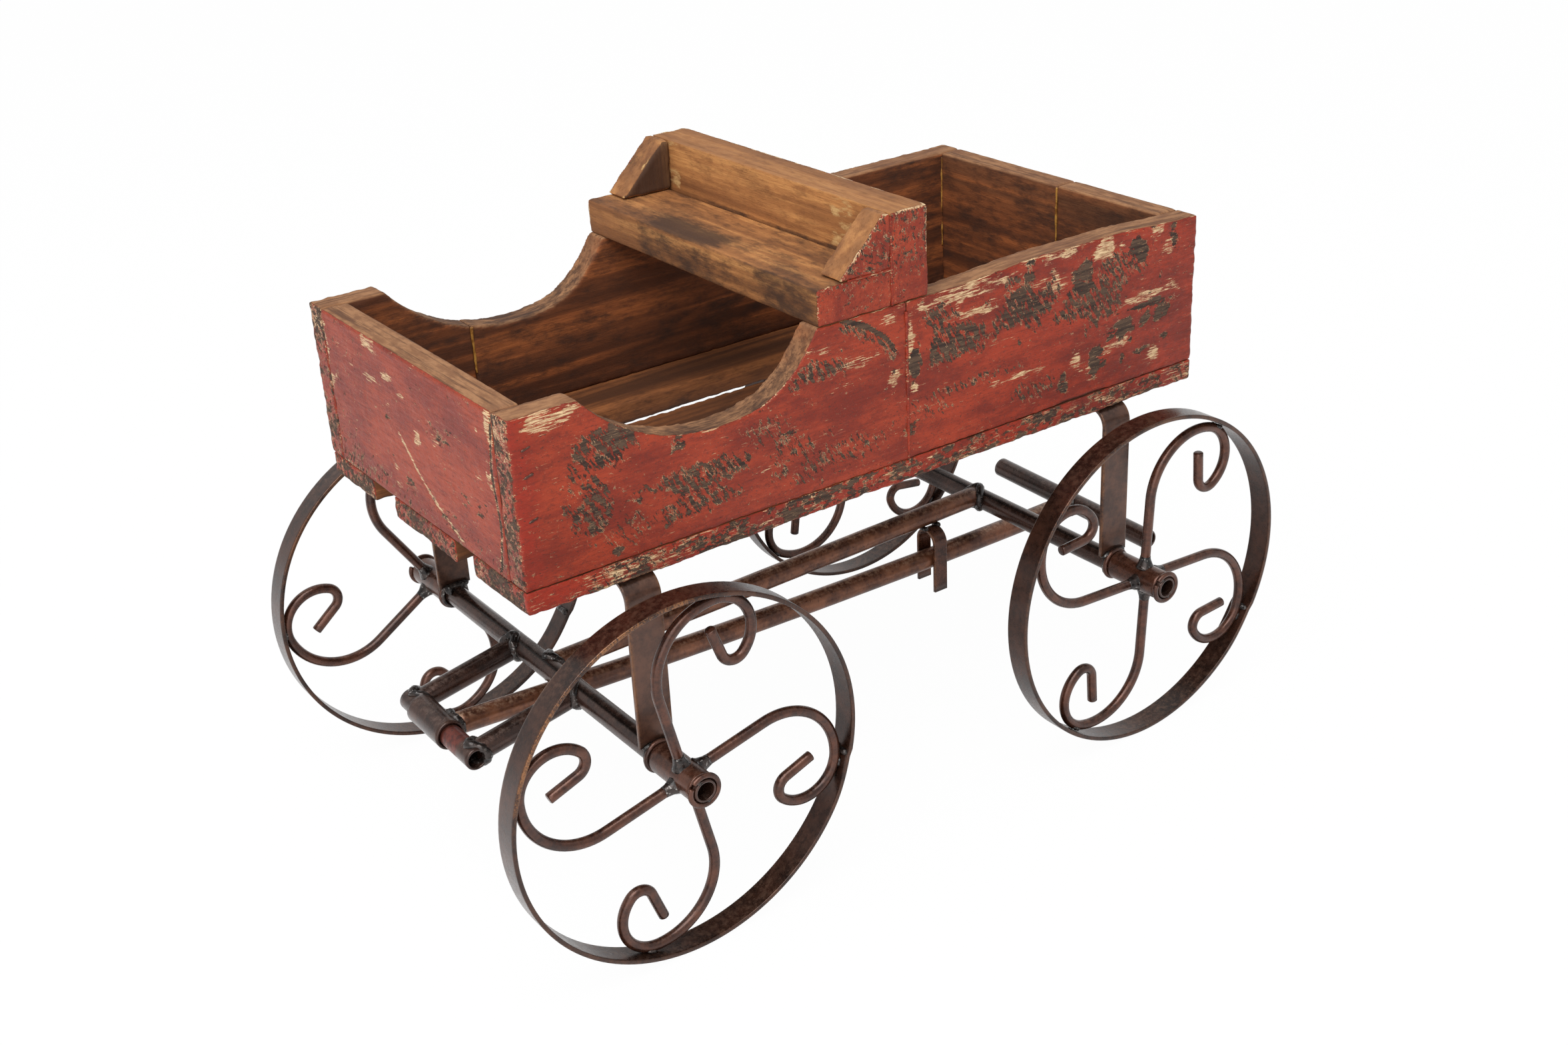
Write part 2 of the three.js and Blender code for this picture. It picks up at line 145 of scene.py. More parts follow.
class Shader:
    """A material under construction: each method adds one node and returns its output."""

    def __init__(self, name):
        self.material = bpy.data.materials.new(name)
        self.material.use_nodes = True
        self.tree = self.material.node_tree
        self.tree.nodes.clear()

    def node(self, kind, inputs=None, **settings):
        made = self.tree.nodes.new(kind)
        for key, value in settings.items():
            setattr(made, key, value)
        for key, value in (inputs or {}).items():
            if isinstance(value, bpy.types.NodeSocket):
                self.tree.links.new(value, made.inputs[key])
            else:
                made.inputs[key].default_value = value
        return made

    def math(self, operation, first, second=0.0, clamp=False):
        made = self.node("ShaderNodeMath", {0: first, 1: second}, operation=operation)
        made.use_clamp = clamp
        return made.outputs[0]

    def add(self, first, second):
        return self.math("ADD", first, second)

    def times(self, first, second):
        return self.math("MULTIPLY", first, second)

    def value(self, name):
        return self.node("ShaderNodeAttribute", attribute_name=name).outputs["Fac"]

    def vector(self, name):
        return self.node("ShaderNodeAttribute", attribute_name=name).outputs["Vector"]

    def place(self):
        return self.node("ShaderNodeTexCoord").outputs["Object"]

    def stretch(self, vector, x, y, z):
        made = self.node("ShaderNodeMapping", {"Vector": vector, "Scale": (x, y, z)})
        return made.outputs[0]

    def noise(self, vector, size, detail=4.0, roughness=0.6, distortion=0.0):
        """Noise from 0 to 1 whose lumps are about size metres across."""
        inputs = {"Vector": vector, "Scale": 1 / size, "Detail": detail}
        inputs.update({"Roughness": roughness, "Distortion": distortion})
        return self.node("ShaderNodeTexNoise", inputs).outputs["Fac"]

    def step(self, value, low, high):
        inputs = {"Value": value, "From Min": low, "From Max": high}
        made = self.node("ShaderNodeMapRange", inputs, interpolation_type="SMOOTHSTEP")
        return made.outputs[0]

    def mix(self, share, first, second):
        made = self.node("ShaderNodeMix", data_type="RGBA")
        for index, value in ((0, share), (6, first), (7, second)):
            if isinstance(value, bpy.types.NodeSocket):
                self.tree.links.new(value, made.inputs[index])
            else:
                made.inputs[index].default_value = value
        return made.outputs[2]

    def over(self, base, colour, value, low, high, strength=1.0):
        """Lays a colour over a base: none of it where value is at low, strength of it at high."""
        share = self.step(value, low, high)
        if strength != 1.0:
            share = self.times(share, strength)
        return self.mix(share, base, colour)

    def bump(self, height, distance, normal=None):
        inputs = {"Height": height, "Distance": distance, "Strength": 1.0}
        if normal is not None:
            inputs["Normal"] = normal
        return self.node("ShaderNodeBump", inputs).outputs[0]

    def surface(self, **inputs):
        named = {key.replace("_", " "): value for key, value in inputs.items()}
        shader = self.node("ShaderNodeBsdfPrincipled", named)
        output = self.node("ShaderNodeOutputMaterial")
        self.tree.links.new(shader.outputs[0], output.inputs[0])
        return self.material


# ---- Wood materials -----------------------------------------------------------------------


def grain_noises(s):
    """Noises along the grain that several layers of a board share, from wide bands to fibres."""
    grain = s.vector("grain")  # X runs along the grain

    def drawn_out(share, size, detail, roughness, distortion=0.0):
        return s.noise(s.stretch(grain, share, 1, 1), size, detail, roughness, distortion)

    return SimpleNamespace(
        grain=grain,
        drawn_out=drawn_out,
        bands=drawn_out(0.035, 12 * mm, 3, 0.5, 0.5),
        lines=drawn_out(0.035, 2.4 * mm, 4, 0.7),
        fibres=drawn_out(0.10, 0.8 * mm, 3, 0.65),
        cloud=drawn_out(0.5, 40 * mm, 5, 0.65),
        mottle=drawn_out(0.35, 6 * mm, 5, 0.7),
        brush=drawn_out(0.08, 2.2 * mm, 5, 0.75),
        grit=drawn_out(0.7, 1.3 * mm, 4, 0.75),
        leather=drawn_out(0.6, 3.2 * mm, 5, 0.7),
    )


def bare_wood(s, n, dark, light, streak, edge):
    """Sawn wood, greyer on weathered top edges, which are lighter as well as a painted highlight, with
    dirt, painted shade on faces that do not look up, and pale patches.
    """
    wood = s.over(dark, light, n.bands, 0.36, 0.62)
    streaks = s.times(s.step(n.bands, 0.53, 0.62), s.step(n.lines, 0.36, 0.58))
    wood = s.mix(s.times(streaks, 0.5), wood, streak)
    wood = s.over(wood, dark, n.mottle, 0.46, 0.66, 0.5)
    wood = s.over(wood, s.mix(0.5, dark, srgb(58, 36, 26)), n.cloud, 0.44, 0.66, 0.35)
    wood = s.over(wood, s.mix(0.6, dark, srgb(36, 20, 12)), n.fibres, 0.50, 0.70, 0.4)
    # Faces that look up take this greyer colour of weathered wood, and its lightness is a painted
    # highlight.
    top = s.over(edge, s.mix(0.5, edge, dark), n.mottle, 0.38, 0.62)
    top = s.over(top, s.mix(0.5, dark, srgb(52, 38, 30)), n.lines, 0.50, 0.64, 0.7)
    top = s.over(top, srgb(112, 74, 52), n.cloud, 0.50, 0.64, 0.55)
    wood = s.mix(s.value("weathered_lit_top"), wood, top)  # the top share is 1 on faces that look up: greyer weathered wood, lighter as a painted highlight
    # Dark patches: noise dirt, real stains on the seat, and painted shade on faces that do not look up.
    grime_and_shade = s.add(s.times(s.value("stain_and_shade"), 0.40), s.times(s.add(n.cloud, n.mottle), 0.45))
    wood = s.over(wood, srgb(44, 32, 27), grime_and_shade, 0.50, 0.76, 0.8)
    pale = s.add(s.times(s.value("pale"), 0.2), s.times(n.mottle, 0.6))
    return s.over(wood, srgb(206, 168, 112), pale, 0.48, 0.60, 0.8)


def red_paint(s, n):
    """Red paint: deep where it is thick, chalky where the sun has bleached it."""
    patchy = n.drawn_out(0.4, 34 * mm, 6, 0.7)
    deep = s.over(srgb(104, 28, 13), srgb(148, 46, 21), patchy, 0.38, 0.62)
    faded = s.over(srgb(118, 35, 18), srgb(150, 57, 30), patchy, 0.38, 0.62)
    red = s.mix(s.value("chalk"), deep, faded)
    # fresh is 1 where a later, brighter coat lies thick.
    red = s.mix(s.times(s.value("fresh"), s.step(patchy, 0.30, 0.58)), red, srgb(136, 30, 15))
    red = s.over(red, srgb(84, 30, 21), n.brush, 0.50, 0.68, 0.45)
    red = s.over(red, srgb(96, 32, 20), n.leather, 0.52, 0.66, 0.5)
    red = s.over(red, srgb(186, 92, 66), n.brush, 0.40, 0.28, 0.35)
    red = s.over(red, srgb(62, 32, 25), n.grit, 0.585, 0.66, 0.8)
    return s.over(red, srgb(200, 130, 98), n.grit, 0.345, 0.29, 0.5)


def paint_loss(s, n):
    """How much of the paint has gone: high where the saw or chip value and a noise add up.

    Saw marks lie across the grain and lean back, and the paint went from their ridges first.
    """
    split = s.node("ShaderNodeSeparateXYZ", {0: n.grain}).outputs
    across = s.add(s.times(split[0], 0.86), s.times(split[1], -0.5))
    down = s.add(s.times(split[0], 0.5), s.times(split[1], 0.86))
    leaning = s.node("ShaderNodeCombineXYZ", {0: across, 1: s.times(down, 0.28), 2: split[2]})
    marks = s.noise(leaning.outputs[0], 2.1 * mm, 6, 0.72)
    ragged = s.times(s.noise(n.grain, 12 * mm, 3, 0.6), 9.0)
    ridges = s.math("SINE", s.add(s.times(across, 2 * math.pi / (6.4 * mm)), ragged))
    saw = s.value("saw")
    scraped = s.add(s.add(marks, s.times(saw, 0.220)), s.times(s.times(ridges, saw), 0.040))
    broken = n.drawn_out(0.5, 4.2 * mm, 8, 0.76)
    chipped = s.add(broken, s.times(s.value("chip"), 0.26))
    return s.math("MAXIMUM", scraped, chipped)


def paint_layers(s, n, loss, gone):
    """Red paint over cream primer over old dark wood, as far down as the wear has gone."""
    smear = n.drawn_out(0.09, 1.2 * mm, 6, 0.75)
    blotch = n.drawn_out(0.4, 7 * mm, 5, 0.7)
    scuffed = s.add(s.add(s.times(smear, 0.7), s.times(blotch, 0.3)), s.times(s.value("primer"), 0.135))
    cream = s.step(scuffed, 0.610, 0.645)
    thin = s.step(loss, 0.655, 0.690)
    rim = s.times(thin, s.step(s.noise(n.grain, 6 * mm, 4, 0.65), 0.50, 0.57))
    shown = s.math("MAXIMUM", cream, rim, clamp=True)
    primer = s.over(srgb(214, 184, 142), srgb(150, 112, 78), n.fibres, 0.35, 0.66)
    layers = s.mix(shown, red_paint(s, n), primer)
    old = s.over(srgb(48, 35, 29), srgb(84, 64, 50), n.lines, 0.38, 0.62)
    old = s.over(old, srgb(128, 102, 76), n.fibres, 0.58, 0.70)
    return s.mix(gone, layers, old)


def wood_material(name, dark, light, streak, edge):
    """Bare sawn wood, with old red paint over it wherever the piece's paint value says so."""
    s = Shader(name)
    n = grain_noises(s)
    wood = bare_wood(s, n, dark, light, streak, edge)
    loss = paint_loss(s, n)
    gone = s.step(loss, 0.690, 0.712)
    layers = paint_layers(s, n, loss, gone)
    ragged_edge = s.times(s.add(s.noise(n.grain, 4 * mm, 5, 0.7), -0.5), 0.9)
    painted = s.step(s.add(s.value("paint"), ragged_edge), 0.42, 0.5)
    colour = s.mix(painted, wood, layers)
    colour = s.mix(s.value("crack"), colour, srgb(26, 17, 14))  # dark lines in open joints

    skin = s.times(painted, s.math("SUBTRACT", 1.0, gone, clamp=True))
    relief = s.add(s.times(n.lines, 0.35), s.times(n.fibres, 0.25))
    relief = s.add(relief, s.times(n.brush, 0.3))
    relief = s.add(relief, s.times(n.grit, 0.25))
    relief = s.add(relief, s.times(s.times(n.leather, painted), 0.9))
    normal = s.bump(relief, 0.6 * mm)
    normal = s.bump(skin, 0.45 * mm, normal)
    rough = s.mix(skin, (0.8, 0.8, 0.8, 1), (0.46, 0.46, 0.46, 1))
    rough = s.add(rough, s.times(s.add(n.brush, -0.5), 0.4))
    return s.surface(Base_Color=colour, Roughness=rough, Normal=normal, Specular_IOR_Level=0.28)


# The last colour of each is for faces that look up: greyer weathered wood, lighter as a painted
# highlight.
red_wood = wood_material("red_painted_wood", srgb(84, 46, 26), srgb(132, 74, 40),
                         srgb(176, 102, 54), srgb(152, 110, 76))
seat_wood = wood_material("seat_wood", srgb(124, 78, 44), srgb(168, 112, 64),
                          srgb(212, 154, 92), srgb(148, 106, 70))
floor_wood = wood_material("floor_wood", srgb(76, 44, 24), srgb(124, 74, 40),
                           srgb(166, 104, 58), srgb(140, 104, 74))


# ---- Iron materials -----------------------------------------------------------------------


def iron_material(name, dark, mid, wear_and_highlight, rust_share=0.25, gloss=0.32, shine=0.35):
    """Lacquered mild steel, rubbed bright where hands and ground reach it, with rust coming through.
    Faces that look up carry a painted highlight, mottled like rubbed metal.
    """
    s = Shader(name)
    place = s.place()
    facing = s.node("ShaderNodeNewGeometry").outputs["Normal"]
    upward = s.node("ShaderNodeSeparateXYZ", {0: facing}).outputs[2]
    mottled = s.noise(place, 22 * mm, 5, 0.7)
    dabs = s.noise(place, 4 * mm, 4, 0.65)
    speckle = s.noise(place, 1.2 * mm, 4, 0.7)
    patch = s.noise(place, 42 * mm, 3, 0.6)
    colour = s.over(dark, mid, s.add(s.times(mottled, 0.7), s.times(dabs, 0.3)), 0.36, 0.64)
    # Painted highlight: faces that look up are lightened in mottled patches towards the highlight
    # colour, as if lit from above.
    lit_top = s.step(upward, 0.55, 0.98)
    rubbed = s.times(lit_top, s.step(s.add(s.times(dabs, 0.7), s.times(speckle, 0.5)), 0.54, 0.76))
    colour = s.mix(s.times(rubbed, shine), colour, wear_and_highlight)
    flecks = s.step(s.add(s.times(mottled, 0.5), s.times(speckle, 0.5)), 0.44, 0.6)
    edges = s.times(s.value("rub"), flecks)
    colour = s.mix(s.times(edges, 0.7), colour, srgb(150, 100, 58))
    rust = s.times(s.times(s.step(speckle, 0.52, 0.68), s.step(patch, 0.54, 0.66)), rust_share)
    colour = s.mix(rust, colour, srgb(146, 70, 34))
    colour = s.over(colour, srgb(22, 14, 12), speckle, 0.60, 0.74, 0.3)
    colour = s.mix(s.times(s.value("seam"), 0.9), colour, srgb(14, 10, 9))
    bare = s.times(s.value("bare"), s.step(dabs, 0.25, 0.5))
    colour = s.mix(bare, colour, s.over(srgb(120, 52, 38), srgb(78, 36, 30), dabs, 0.4, 0.6))
    rough = s.add(gloss, s.times(s.add(dabs, -0.5), 0.35))
    rough = s.add(rough, s.times(s.math("MAXIMUM", rust, bare), 0.3))
    normal = s.bump(s.add(s.times(dabs, 0.6), s.times(speckle, 0.4)), 0.2 * mm)
    return s.surface(Base_Color=colour, Metallic=0.6, Roughness=rough, Normal=normal,
                     Coat_Weight=0.35, Coat_Roughness=0.22)


# The third colour of each iron is its painted highlight on faces that look up.
dark_iron = iron_material("dark_iron", srgb(46, 25, 18), srgb(92, 54, 38), srgb(140, 108, 90),
                          gloss=0.28)
rim_iron = iron_material("rim_iron", srgb(36, 20, 14), srgb(70, 42, 30), srgb(128, 100, 82),
                         gloss=0.3)
black_iron = iron_material("black_iron", srgb(42, 27, 22), srgb(74, 48, 38), srgb(118, 100, 90),
                           rust_share=0.12, gloss=0.26, shine=0.45)
brown_iron = iron_material("brown_iron", srgb(72, 41, 28), srgb(130, 82, 56), srgb(190, 158, 132),
                           rust_share=0.4, shine=0.6)
satin_iron = iron_material("satin_iron", srgb(58, 37, 28), srgb(94, 62, 47), srgb(126, 104, 90),
                           rust_share=0.1, gloss=0.36)
screw_steel = iron_material("screw_steel", srgb(92, 88, 82), srgb(132, 128, 120),
                            srgb(170, 166, 158), rust_share=0.35, gloss=0.35)


def weld_material():
    s = Shader("weld")
    place = s.place()
    lumps = s.noise(place, 5 * mm, 4, 0.6)
    specks = s.noise(place, 2.4 * mm, 3, 0.65)
    colour = s.over(srgb(26, 22, 21), srgb(58, 48, 44), lumps, 0.4, 0.62)
    colour = s.over(colour, srgb(170, 166, 162), specks, 0.60, 0.68, 0.8)
    normal = s.bump(s.add(lumps, s.times(specks, 0.4)), 0.5 * mm)
    return s.surface(Base_Color=colour, Metallic=0.7, Roughness=0.3, Normal=normal, Coat_Weight=0.4)


def glue_material():
    s = Shader("dried_glue")
    lumps = s.noise(s.place(), 4 * mm, 4, 0.6)
    colour = s.over(srgb(120, 74, 26), srgb(176, 128, 58), lumps, 0.35, 0.65)
    return s.surface(Base_Color=colour, Roughness=0.4, Normal=s.bump(lumps, 0.4 * mm))


weld = weld_material()
glue = glue_material()


# ---- Wooden pieces ------------------------------------------------------------------------

box_low = Vector(map(min, *[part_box(n)[0] for n in ("right_side_front", "right_side_rear")]))
box_high = Vector(map(max, *[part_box(n)[1] for n in ("left_side_front", "left_side_rear")]))
floor_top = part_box("floor_plank_middle")[1].z

# Worn places on the outer face of a side. Each is the distance forward of the axles' middle, the
# height above the ground, half its length, half its height, and how much of the paint is gone.
# The right side wears the same list turned about, from back to front.
side_saw_marks = [
    (214, 346, 22, 15, 1.05), (226, 308, 17, 22, 0.95), (152, 306, 42, 13, 1.0),
    (158, 289, 40, 9, 0.85), (60, 349, 30, 10, 0.9), (45, 290, 50, 12, 0.7),
    (206, 286, 22, 12, 0.6), (104, 322, 20, 10, 0.65), (84, 304, 20, 14, 0.7),
    (-52, 340, 34, 15, 1.1), (-36, 360, 15, 8, 1.0), (-112, 349, 34, 16, 1.1),
    (-172, 338, 38, 17, 1.0), (-125, 286, 26, 8, 0.75), (-62, 308, 40, 4, 0.7),
    (-200, 356, 30, 11, 0.9), (236, 335, 9, 14, 0.7), (-30, 300, 20, 12, 0.6),
]
side_bare = [
    (207, 349, 9, 12, 0.85), (166, 331, 7, 7, 0.85), (86, 311, 6, 5, 0.7), (214, 275, 6, 4, 1.0),
    (-168, 357, 10, 13, 1.05), (-222, 366, 11, 8, 1.15), (-205, 311, 13, 8, 1.05),
    (-180, 292, 8, 15, 1.0), (-150, 285, 6, 9, 1.1), (-246, 314, 8, 7, 1.15), (-229, 312, 7, 4, 1.1),
    (-17, 331, 6, 13, 1.1), (-14, 288, 8, 7, 0.85), (-248, 294, 5, 3, 0.9), (-226, 289, 16, 3, 0.9),
    (-256, 366, 4, 13, 0.85), (-118, 372, 7, 10, 0.7), (-232, 322, 26, 2.5, 1.0),
]
side_primer = [
    (252, 371, 22, 6, 1.1), (-62, 371, 52, 6, 0.95), (-122, 362, 40, 7, 0.6), (-142, 358, 6, 11, 1.0),
    (-150, 375, 16, 4, 1.0), (-189, 371, 13, 6, 1.2), (-240, 374, 7, 7, 1.0), (-250, 364, 7, 10, 0.8),
    (-228, 329, 28, 5, 0.9), (-238, 285, 6, 5, 1.1), (-116, 301, 28, 2.5, 1.0), (-202, 299, 18, 4, 0.8),
    (-14, 350, 4, 26, 1.0), (34, 348, 18, 5, 0.7), (62, 363, 14, 4, 0.8), (0, 331, 5, 5, 1.0),
    (-162, 296, 6, 7, 0.9), (-176, 284, 5, 8, 0.8), (105, 324, 26, 2, 0.7), (104, 295, 16, 1.5, 0.8),
    (-66, 356, 20, 3, 0.9), (-16, 318, 4, 6, 0.9),
]
# The same for the front board, with the distance left of the middle first. The rear board wears the
# same lists turned about.
front_bare = [
    (50, 337, 13, 5, 0.62), (-8, 286, 9, 8, 0.6), (70, 304, 17, 4, 0.62), (91, 304, 7, 6, 0.75),
    (-50, 283, 14, 4, 0.6), (58, 345, 16, 3, 0.5), (46, 286, 24, 5, 0.5), (35, 353, 4, 1.5, 0.8),
    (110, 275, 10, 4, 0.6), (66, 372, 5, 4, 0.6), (90, 374, 7, 3, 0.6), (-30, 328, 5, 2, 0.7),
]
front_primer = [
    (-22, 357, 12, 4, 1.0), (-6, 350, 8, 4, 0.95), (14, 327, 4, 6, 1.1), (-46, 374, 7, 4, 0.9),
    (-52, 349, 14, 4, 0.75), (-28, 281, 6, 3, 1.0), (-30, 294, 6, 3, 1.0), (-25, 336, 4, 2, 0.8),
    (36, 333, 6, 4, 0.65), (-118, 352, 4, 20, 1.0), (-116, 331, 5, 4, 0.9), (115, 366, 7, 14, 1.1),
    (96, 329, 5, 3, 0.7), (112, 328, 6, 3, 0.9), (-102, 270, 18, 3, 0.8),
]
front_cracks = [(118, 372), (112, 338), (116, 300), (110, 272)]  # a split near its left end
front_scratch = [(-16, 322), (8, 300), (30, 286), (60, 272)]
kerf = [(40, 377.5), (32, 374), (20, 368), (8, 359), (0, 350)]  # a saw ran into the side here


def spots(along, up, places, points, seed):
    """How strongly the listed places cover each point, with ragged outlines."""
    ragged = 1 + 0.55 * rough_noise(points, 9 * mm, seed)
    cover = np.zeros(len(points))
    for centre, height, length, tall, strength in places:
        far = ((along / mm - centre) / length) ** 2 + ((up / mm - height) / tall) ** 2
        cover = np.maximum(cover, strength * (1 - smooth(np.sqrt(far) * ragged, 0.55, 1.25)))
    return cover


def line_distance(along, up, corners):
    """Distance in metres from each point to a bent line given in millimetres."""
    nearest = np.full(len(along), 1.0)
    spot = np.stack([along, up], axis=1)
    for start, end in zip(corners, corners[1:]):
        a = np.array(start) * mm
        run = np.array(end) * mm - a
        t = np.clip((spot - a) @ run / (run @ run), 0, 1)
        nearest = np.minimum(nearest, np.linalg.norm(spot - a - t[:, None] * run, axis=1))
    return nearest


def rebuilt(node):
    """A copy of a CAD board on an even grid of small faces, so that its surface can be worked."""
    copy = bpy.data.objects.new(f"{node}_worn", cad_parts[node].data.copy())
    scene.collection.objects.link(copy)
    cells = copy.modifiers.new("cells", "REMESH")
    cells.mode = "VOXEL"
    cells.voxel_size = voxel
    bpy.context.view_layer.update()
    made = copy.evaluated_get(bpy.context.evaluated_depsgraph_get())
    mesh = bpy.data.meshes.new_from_object(made)
    copy.modifiers.clear()
    copy.data = mesh
    return copy


def edge_distance(points, normals):
    """Distance from each point to the nearest edge of its board."""
    facing = np.abs(normals)
    in_scoop = (facing[:, 1] < 0.15) & (facing[:, 0] > 0.05) & (facing[:, 2] > 0.05)
    on_edge = (facing.max(axis=1) < 0.93) & ~in_scoop
    tree = kdtree.KDTree(int(on_edge.sum()))
    for index, point in enumerate(points[on_edge]):
        tree.insert(point, index)
    tree.balance()
    return np.array([tree.find(point)[2] for point in points])


def worn_board(node, material, slot, grain_axis, describe, seed):
    """Builds one board. describe(points, normals, edge) returns the values that the material reads
    and, under "move", how far each point moves out along its normal."""
    obj = rebuilt(node)
    mesh = obj.data
    points = read_points(mesh)
    normals = read_normals(mesh)
    edge = edge_distance(points, normals)
    values = describe(points, normals, edge)
    move = values.pop("move")
    wear = values.pop("wear", np.full(len(points), 0.5 * mm))
    near_edge = np.exp(-((edge / (2.2 * mm)) ** 2))
    ragged = 0.45 + 0.55 * rough_noise(points, 11 * mm, seed, 4)
    move = move - wear * near_edge * np.clip(ragged, 0.05, 2)
    move += 0.25 * mm * rough_noise(points, 60 * mm, seed + 40)
    move += 0.10 * mm * rough_noise(points, 4 * mm, seed + 50, 2)
    move += 0.45 * mm * rough_noise(points, 5 * mm, seed + 55, 2) * smooth(edge, 5 * mm, 1 * mm)
    push = values.pop("push", 0)
    write_points(mesh, points + normals * move[:, None] + push)
    shift = np.array([0.37, 0.21, 0.13]) * seed
    axes = {"X": (0, 2, 1), "Y": (1, 2, 0), "Z": (2, 0, 1)}[grain_axis]
    set_vectors(mesh, "grain", points[:, axes] + shift * np.array([1, 0, 1]))
    for name, share in values.items():
        set_values(mesh, name, share)
    for polygon in mesh.polygons:
        polygon.use_smooth = True
    return finish_piece(obj, "frame", material, slot, node)


def side_values(sign, seed):
    """A side board: painted outside and on its ends, bare inside and on top."""
    def describe(points, normals, edge):
        x, y, z = points.T
        outward = normals[:, 1] * sign
        front_end = smooth(normals[:, 0], 0.4, 0.8) * (x > box_high.x - 4 * mm)
        rear_end = smooth(-normals[:, 0], 0.4, 0.8) * (x < box_low.x + 4 * mm)
        outside = smooth(outward, 0.25, 0.75)
        along = x if sign > 0 else -x
        saw = spots(along, z, side_saw_marks, points, seed) * outside
        chip = spots(along, z, side_bare, points, seed + 3) * outside
        primer = spots(along, z, side_primer, points, seed + 6) * outside
        arc = line_distance(along, z, kerf)
        below = line_distance(along, z + 5 * mm, kerf)
        chip = np.maximum(chip, 1.9 * smooth(arc, 2.2 * mm, 0.8 * mm) * outside)
        saw = np.maximum(saw, 0.9 * smooth(below, 6 * mm, 2 * mm) * outside)
        # Only the top edge and the outer corners are knocked about, not the butted edges.
        ends = np.maximum(front_end, rear_end)
        knocked = np.maximum(smooth(z, box_high.z - 4 * mm, box_high.z - 1 * mm),
                             smooth(np.abs(x), box_high.x - 4 * mm, box_high.x - 1 * mm))
        corner = smooth(edge, 3.0 * mm, 0.5 * mm) * knocked
        broken = rough_noise(points, 16 * mm, seed)
        chip = np.maximum(chip, corner * np.clip(0.30 + 0.22 * broken, 0, 0.6))
        primer = np.maximum(primer, corner * np.clip(0.40 + 0.5 * broken, 0, 1))
        primer = np.maximum(primer, ends * (0.5 + 0.5 * smooth(z, 0.34, 0.37) + 0.3 * broken))
        chip = np.maximum(chip, ends * (0.72 + 0.3 * broken))
        chip = np.maximum(chip, outside * (0.14 + 0.12 * broken))
        groove = -0.8 * mm * smooth(arc, 3.0 * mm, 1.0 * mm) * outside
        # Paint laps over onto the outer rim of the top edge, and wears back to its primer there.
        upper = smooth(normals[:, 2], 0.3, 0.8)
        lip = upper * smooth(np.abs(y), box_high.y - 3 * mm, box_high.y - 1 * mm)
        lip = lip * np.clip(0.7 + 0.6 * rough_noise(points, 11 * mm, seed + 8, 2), 0, 1.4)
        primer = np.maximum(primer, 1.2 * lip)
        scoop = upper * smooth(box_high.z - z, 3 * mm, 8 * mm)
        # The left side's top edge stands a little high behind the seat. Each side has a stretch
        # where its joint with the floor has opened.
        bulge = smooth(x, -0.05, -0.13) * smooth(x, -0.275, -0.19) * smooth(z, 0.366, 0.3775)
        gap = smooth(np.abs(along + 0.168), 26 * mm, 16 * mm) * smooth(z, floor_top + 3 * mm, floor_top)
        push = np.zeros((len(points), 3))
        push[:, 2] = 3.4 * mm * bulge * (sign > 0) + 1.1 * mm * gap * outside
        return {
            "paint": np.maximum(np.maximum(outside, ends), 0.62 * lip),
            "saw": saw,
            "chip": chip,
            "primer": primer,
            "chalk": smooth(along, -0.19, 0.05) * 0.5 + 0.05,
            "fresh": 0.75 * smooth(along + 6 * mm * broken, 0.255, 0.275) * outside,
            # Faces that look up take the greyer top colour, lighter as a painted highlight.
            "weathered_lit_top": smooth(normals[:, 2], 0.3, 0.8),
            # Painted shade on faces that do not look up; the scoop is darkened too.
            "stain_and_shade": 0.32 * smooth(normals[:, 2], 0.6, 0.2) + 0.45 * scoop,
            "crack": gap * outside * 0.9,
            "move": groove - 0.35 * mm * np.clip(chip, 0, 1) * outside,
            "wear": (0.06 + 0.22 * knocked) * mm,
            "push": push,
        }

    return describe


def end_values(sign, seed):
    """An end board between the sides: chalky paint outside, bare inside and on top."""
    def describe(points, normals, edge):
        x, y, z = points.T
        outside = smooth(normals[:, 0] * sign, 0.25, 0.75)
        along = y if sign > 0 else -y
        chip = spots(along, z, front_bare, points, seed) * outside
        primer = spots(along, z, front_primer, points, seed + 3) * outside
        scratch = line_distance(along, z, front_scratch)
        primer = np.maximum(primer, 1.2 * smooth(scratch, 2.2 * mm, 0.8 * mm) * outside)
        below = smooth(scratch, 5 * mm, 1.5 * mm) * smooth(along, -0.01, 0.01)
        chip = np.maximum(chip, 0.55 * below * outside)
        split = smooth(line_distance(along, z, front_cracks), 2.4 * mm, 0.6 * mm) * outside
        chip = np.maximum(chip, 1.1 * split)
        primer = np.maximum(primer, 1.3 * split)
        knocked = smooth(z, box_high.z - 4 * mm, box_high.z - 1 * mm)
        corner = smooth(edge, 3.0 * mm, 0.5 * mm) * knocked
        broken = rough_noise(points, 16 * mm, seed)
        chip = np.maximum(chip, corner * np.clip(0.30 + 0.22 * broken, 0, 0.6))
        primer = np.maximum(primer, corner * np.clip(0.45 + 0.5 * broken, 0, 1))
        chip = np.maximum(chip, outside * (0.12 + 0.14 * broken))
        return {
            "paint": outside,
            "saw": (0.45 * smooth(z, 0.30, 0.27) + 0.3 * smooth(along, -0.03, -0.1)) * outside,
            "chip": chip,
            "primer": primer,
            "chalk": np.full(len(points), 1.0),
            # Faces that look up take the top colour, and the upper inside face some of it: painted
            # light, lighter near the box's opening and darker deeper in it.
            "weathered_lit_top": smooth(normals[:, 2], 0.3, 0.8) + 0.2 * (1 - outside) * smooth(z, 0.33, 0.38),
            # Painted shade on faces that do not look up.
            "stain_and_shade": 0.3 * smooth(normals[:, 2], 0.6, 0.2),
            "move": -0.3 * mm * np.clip(chip, 0, 1) * outside,
            "wear": (0.06 + 0.22 * knocked) * mm,
        }

    return describe


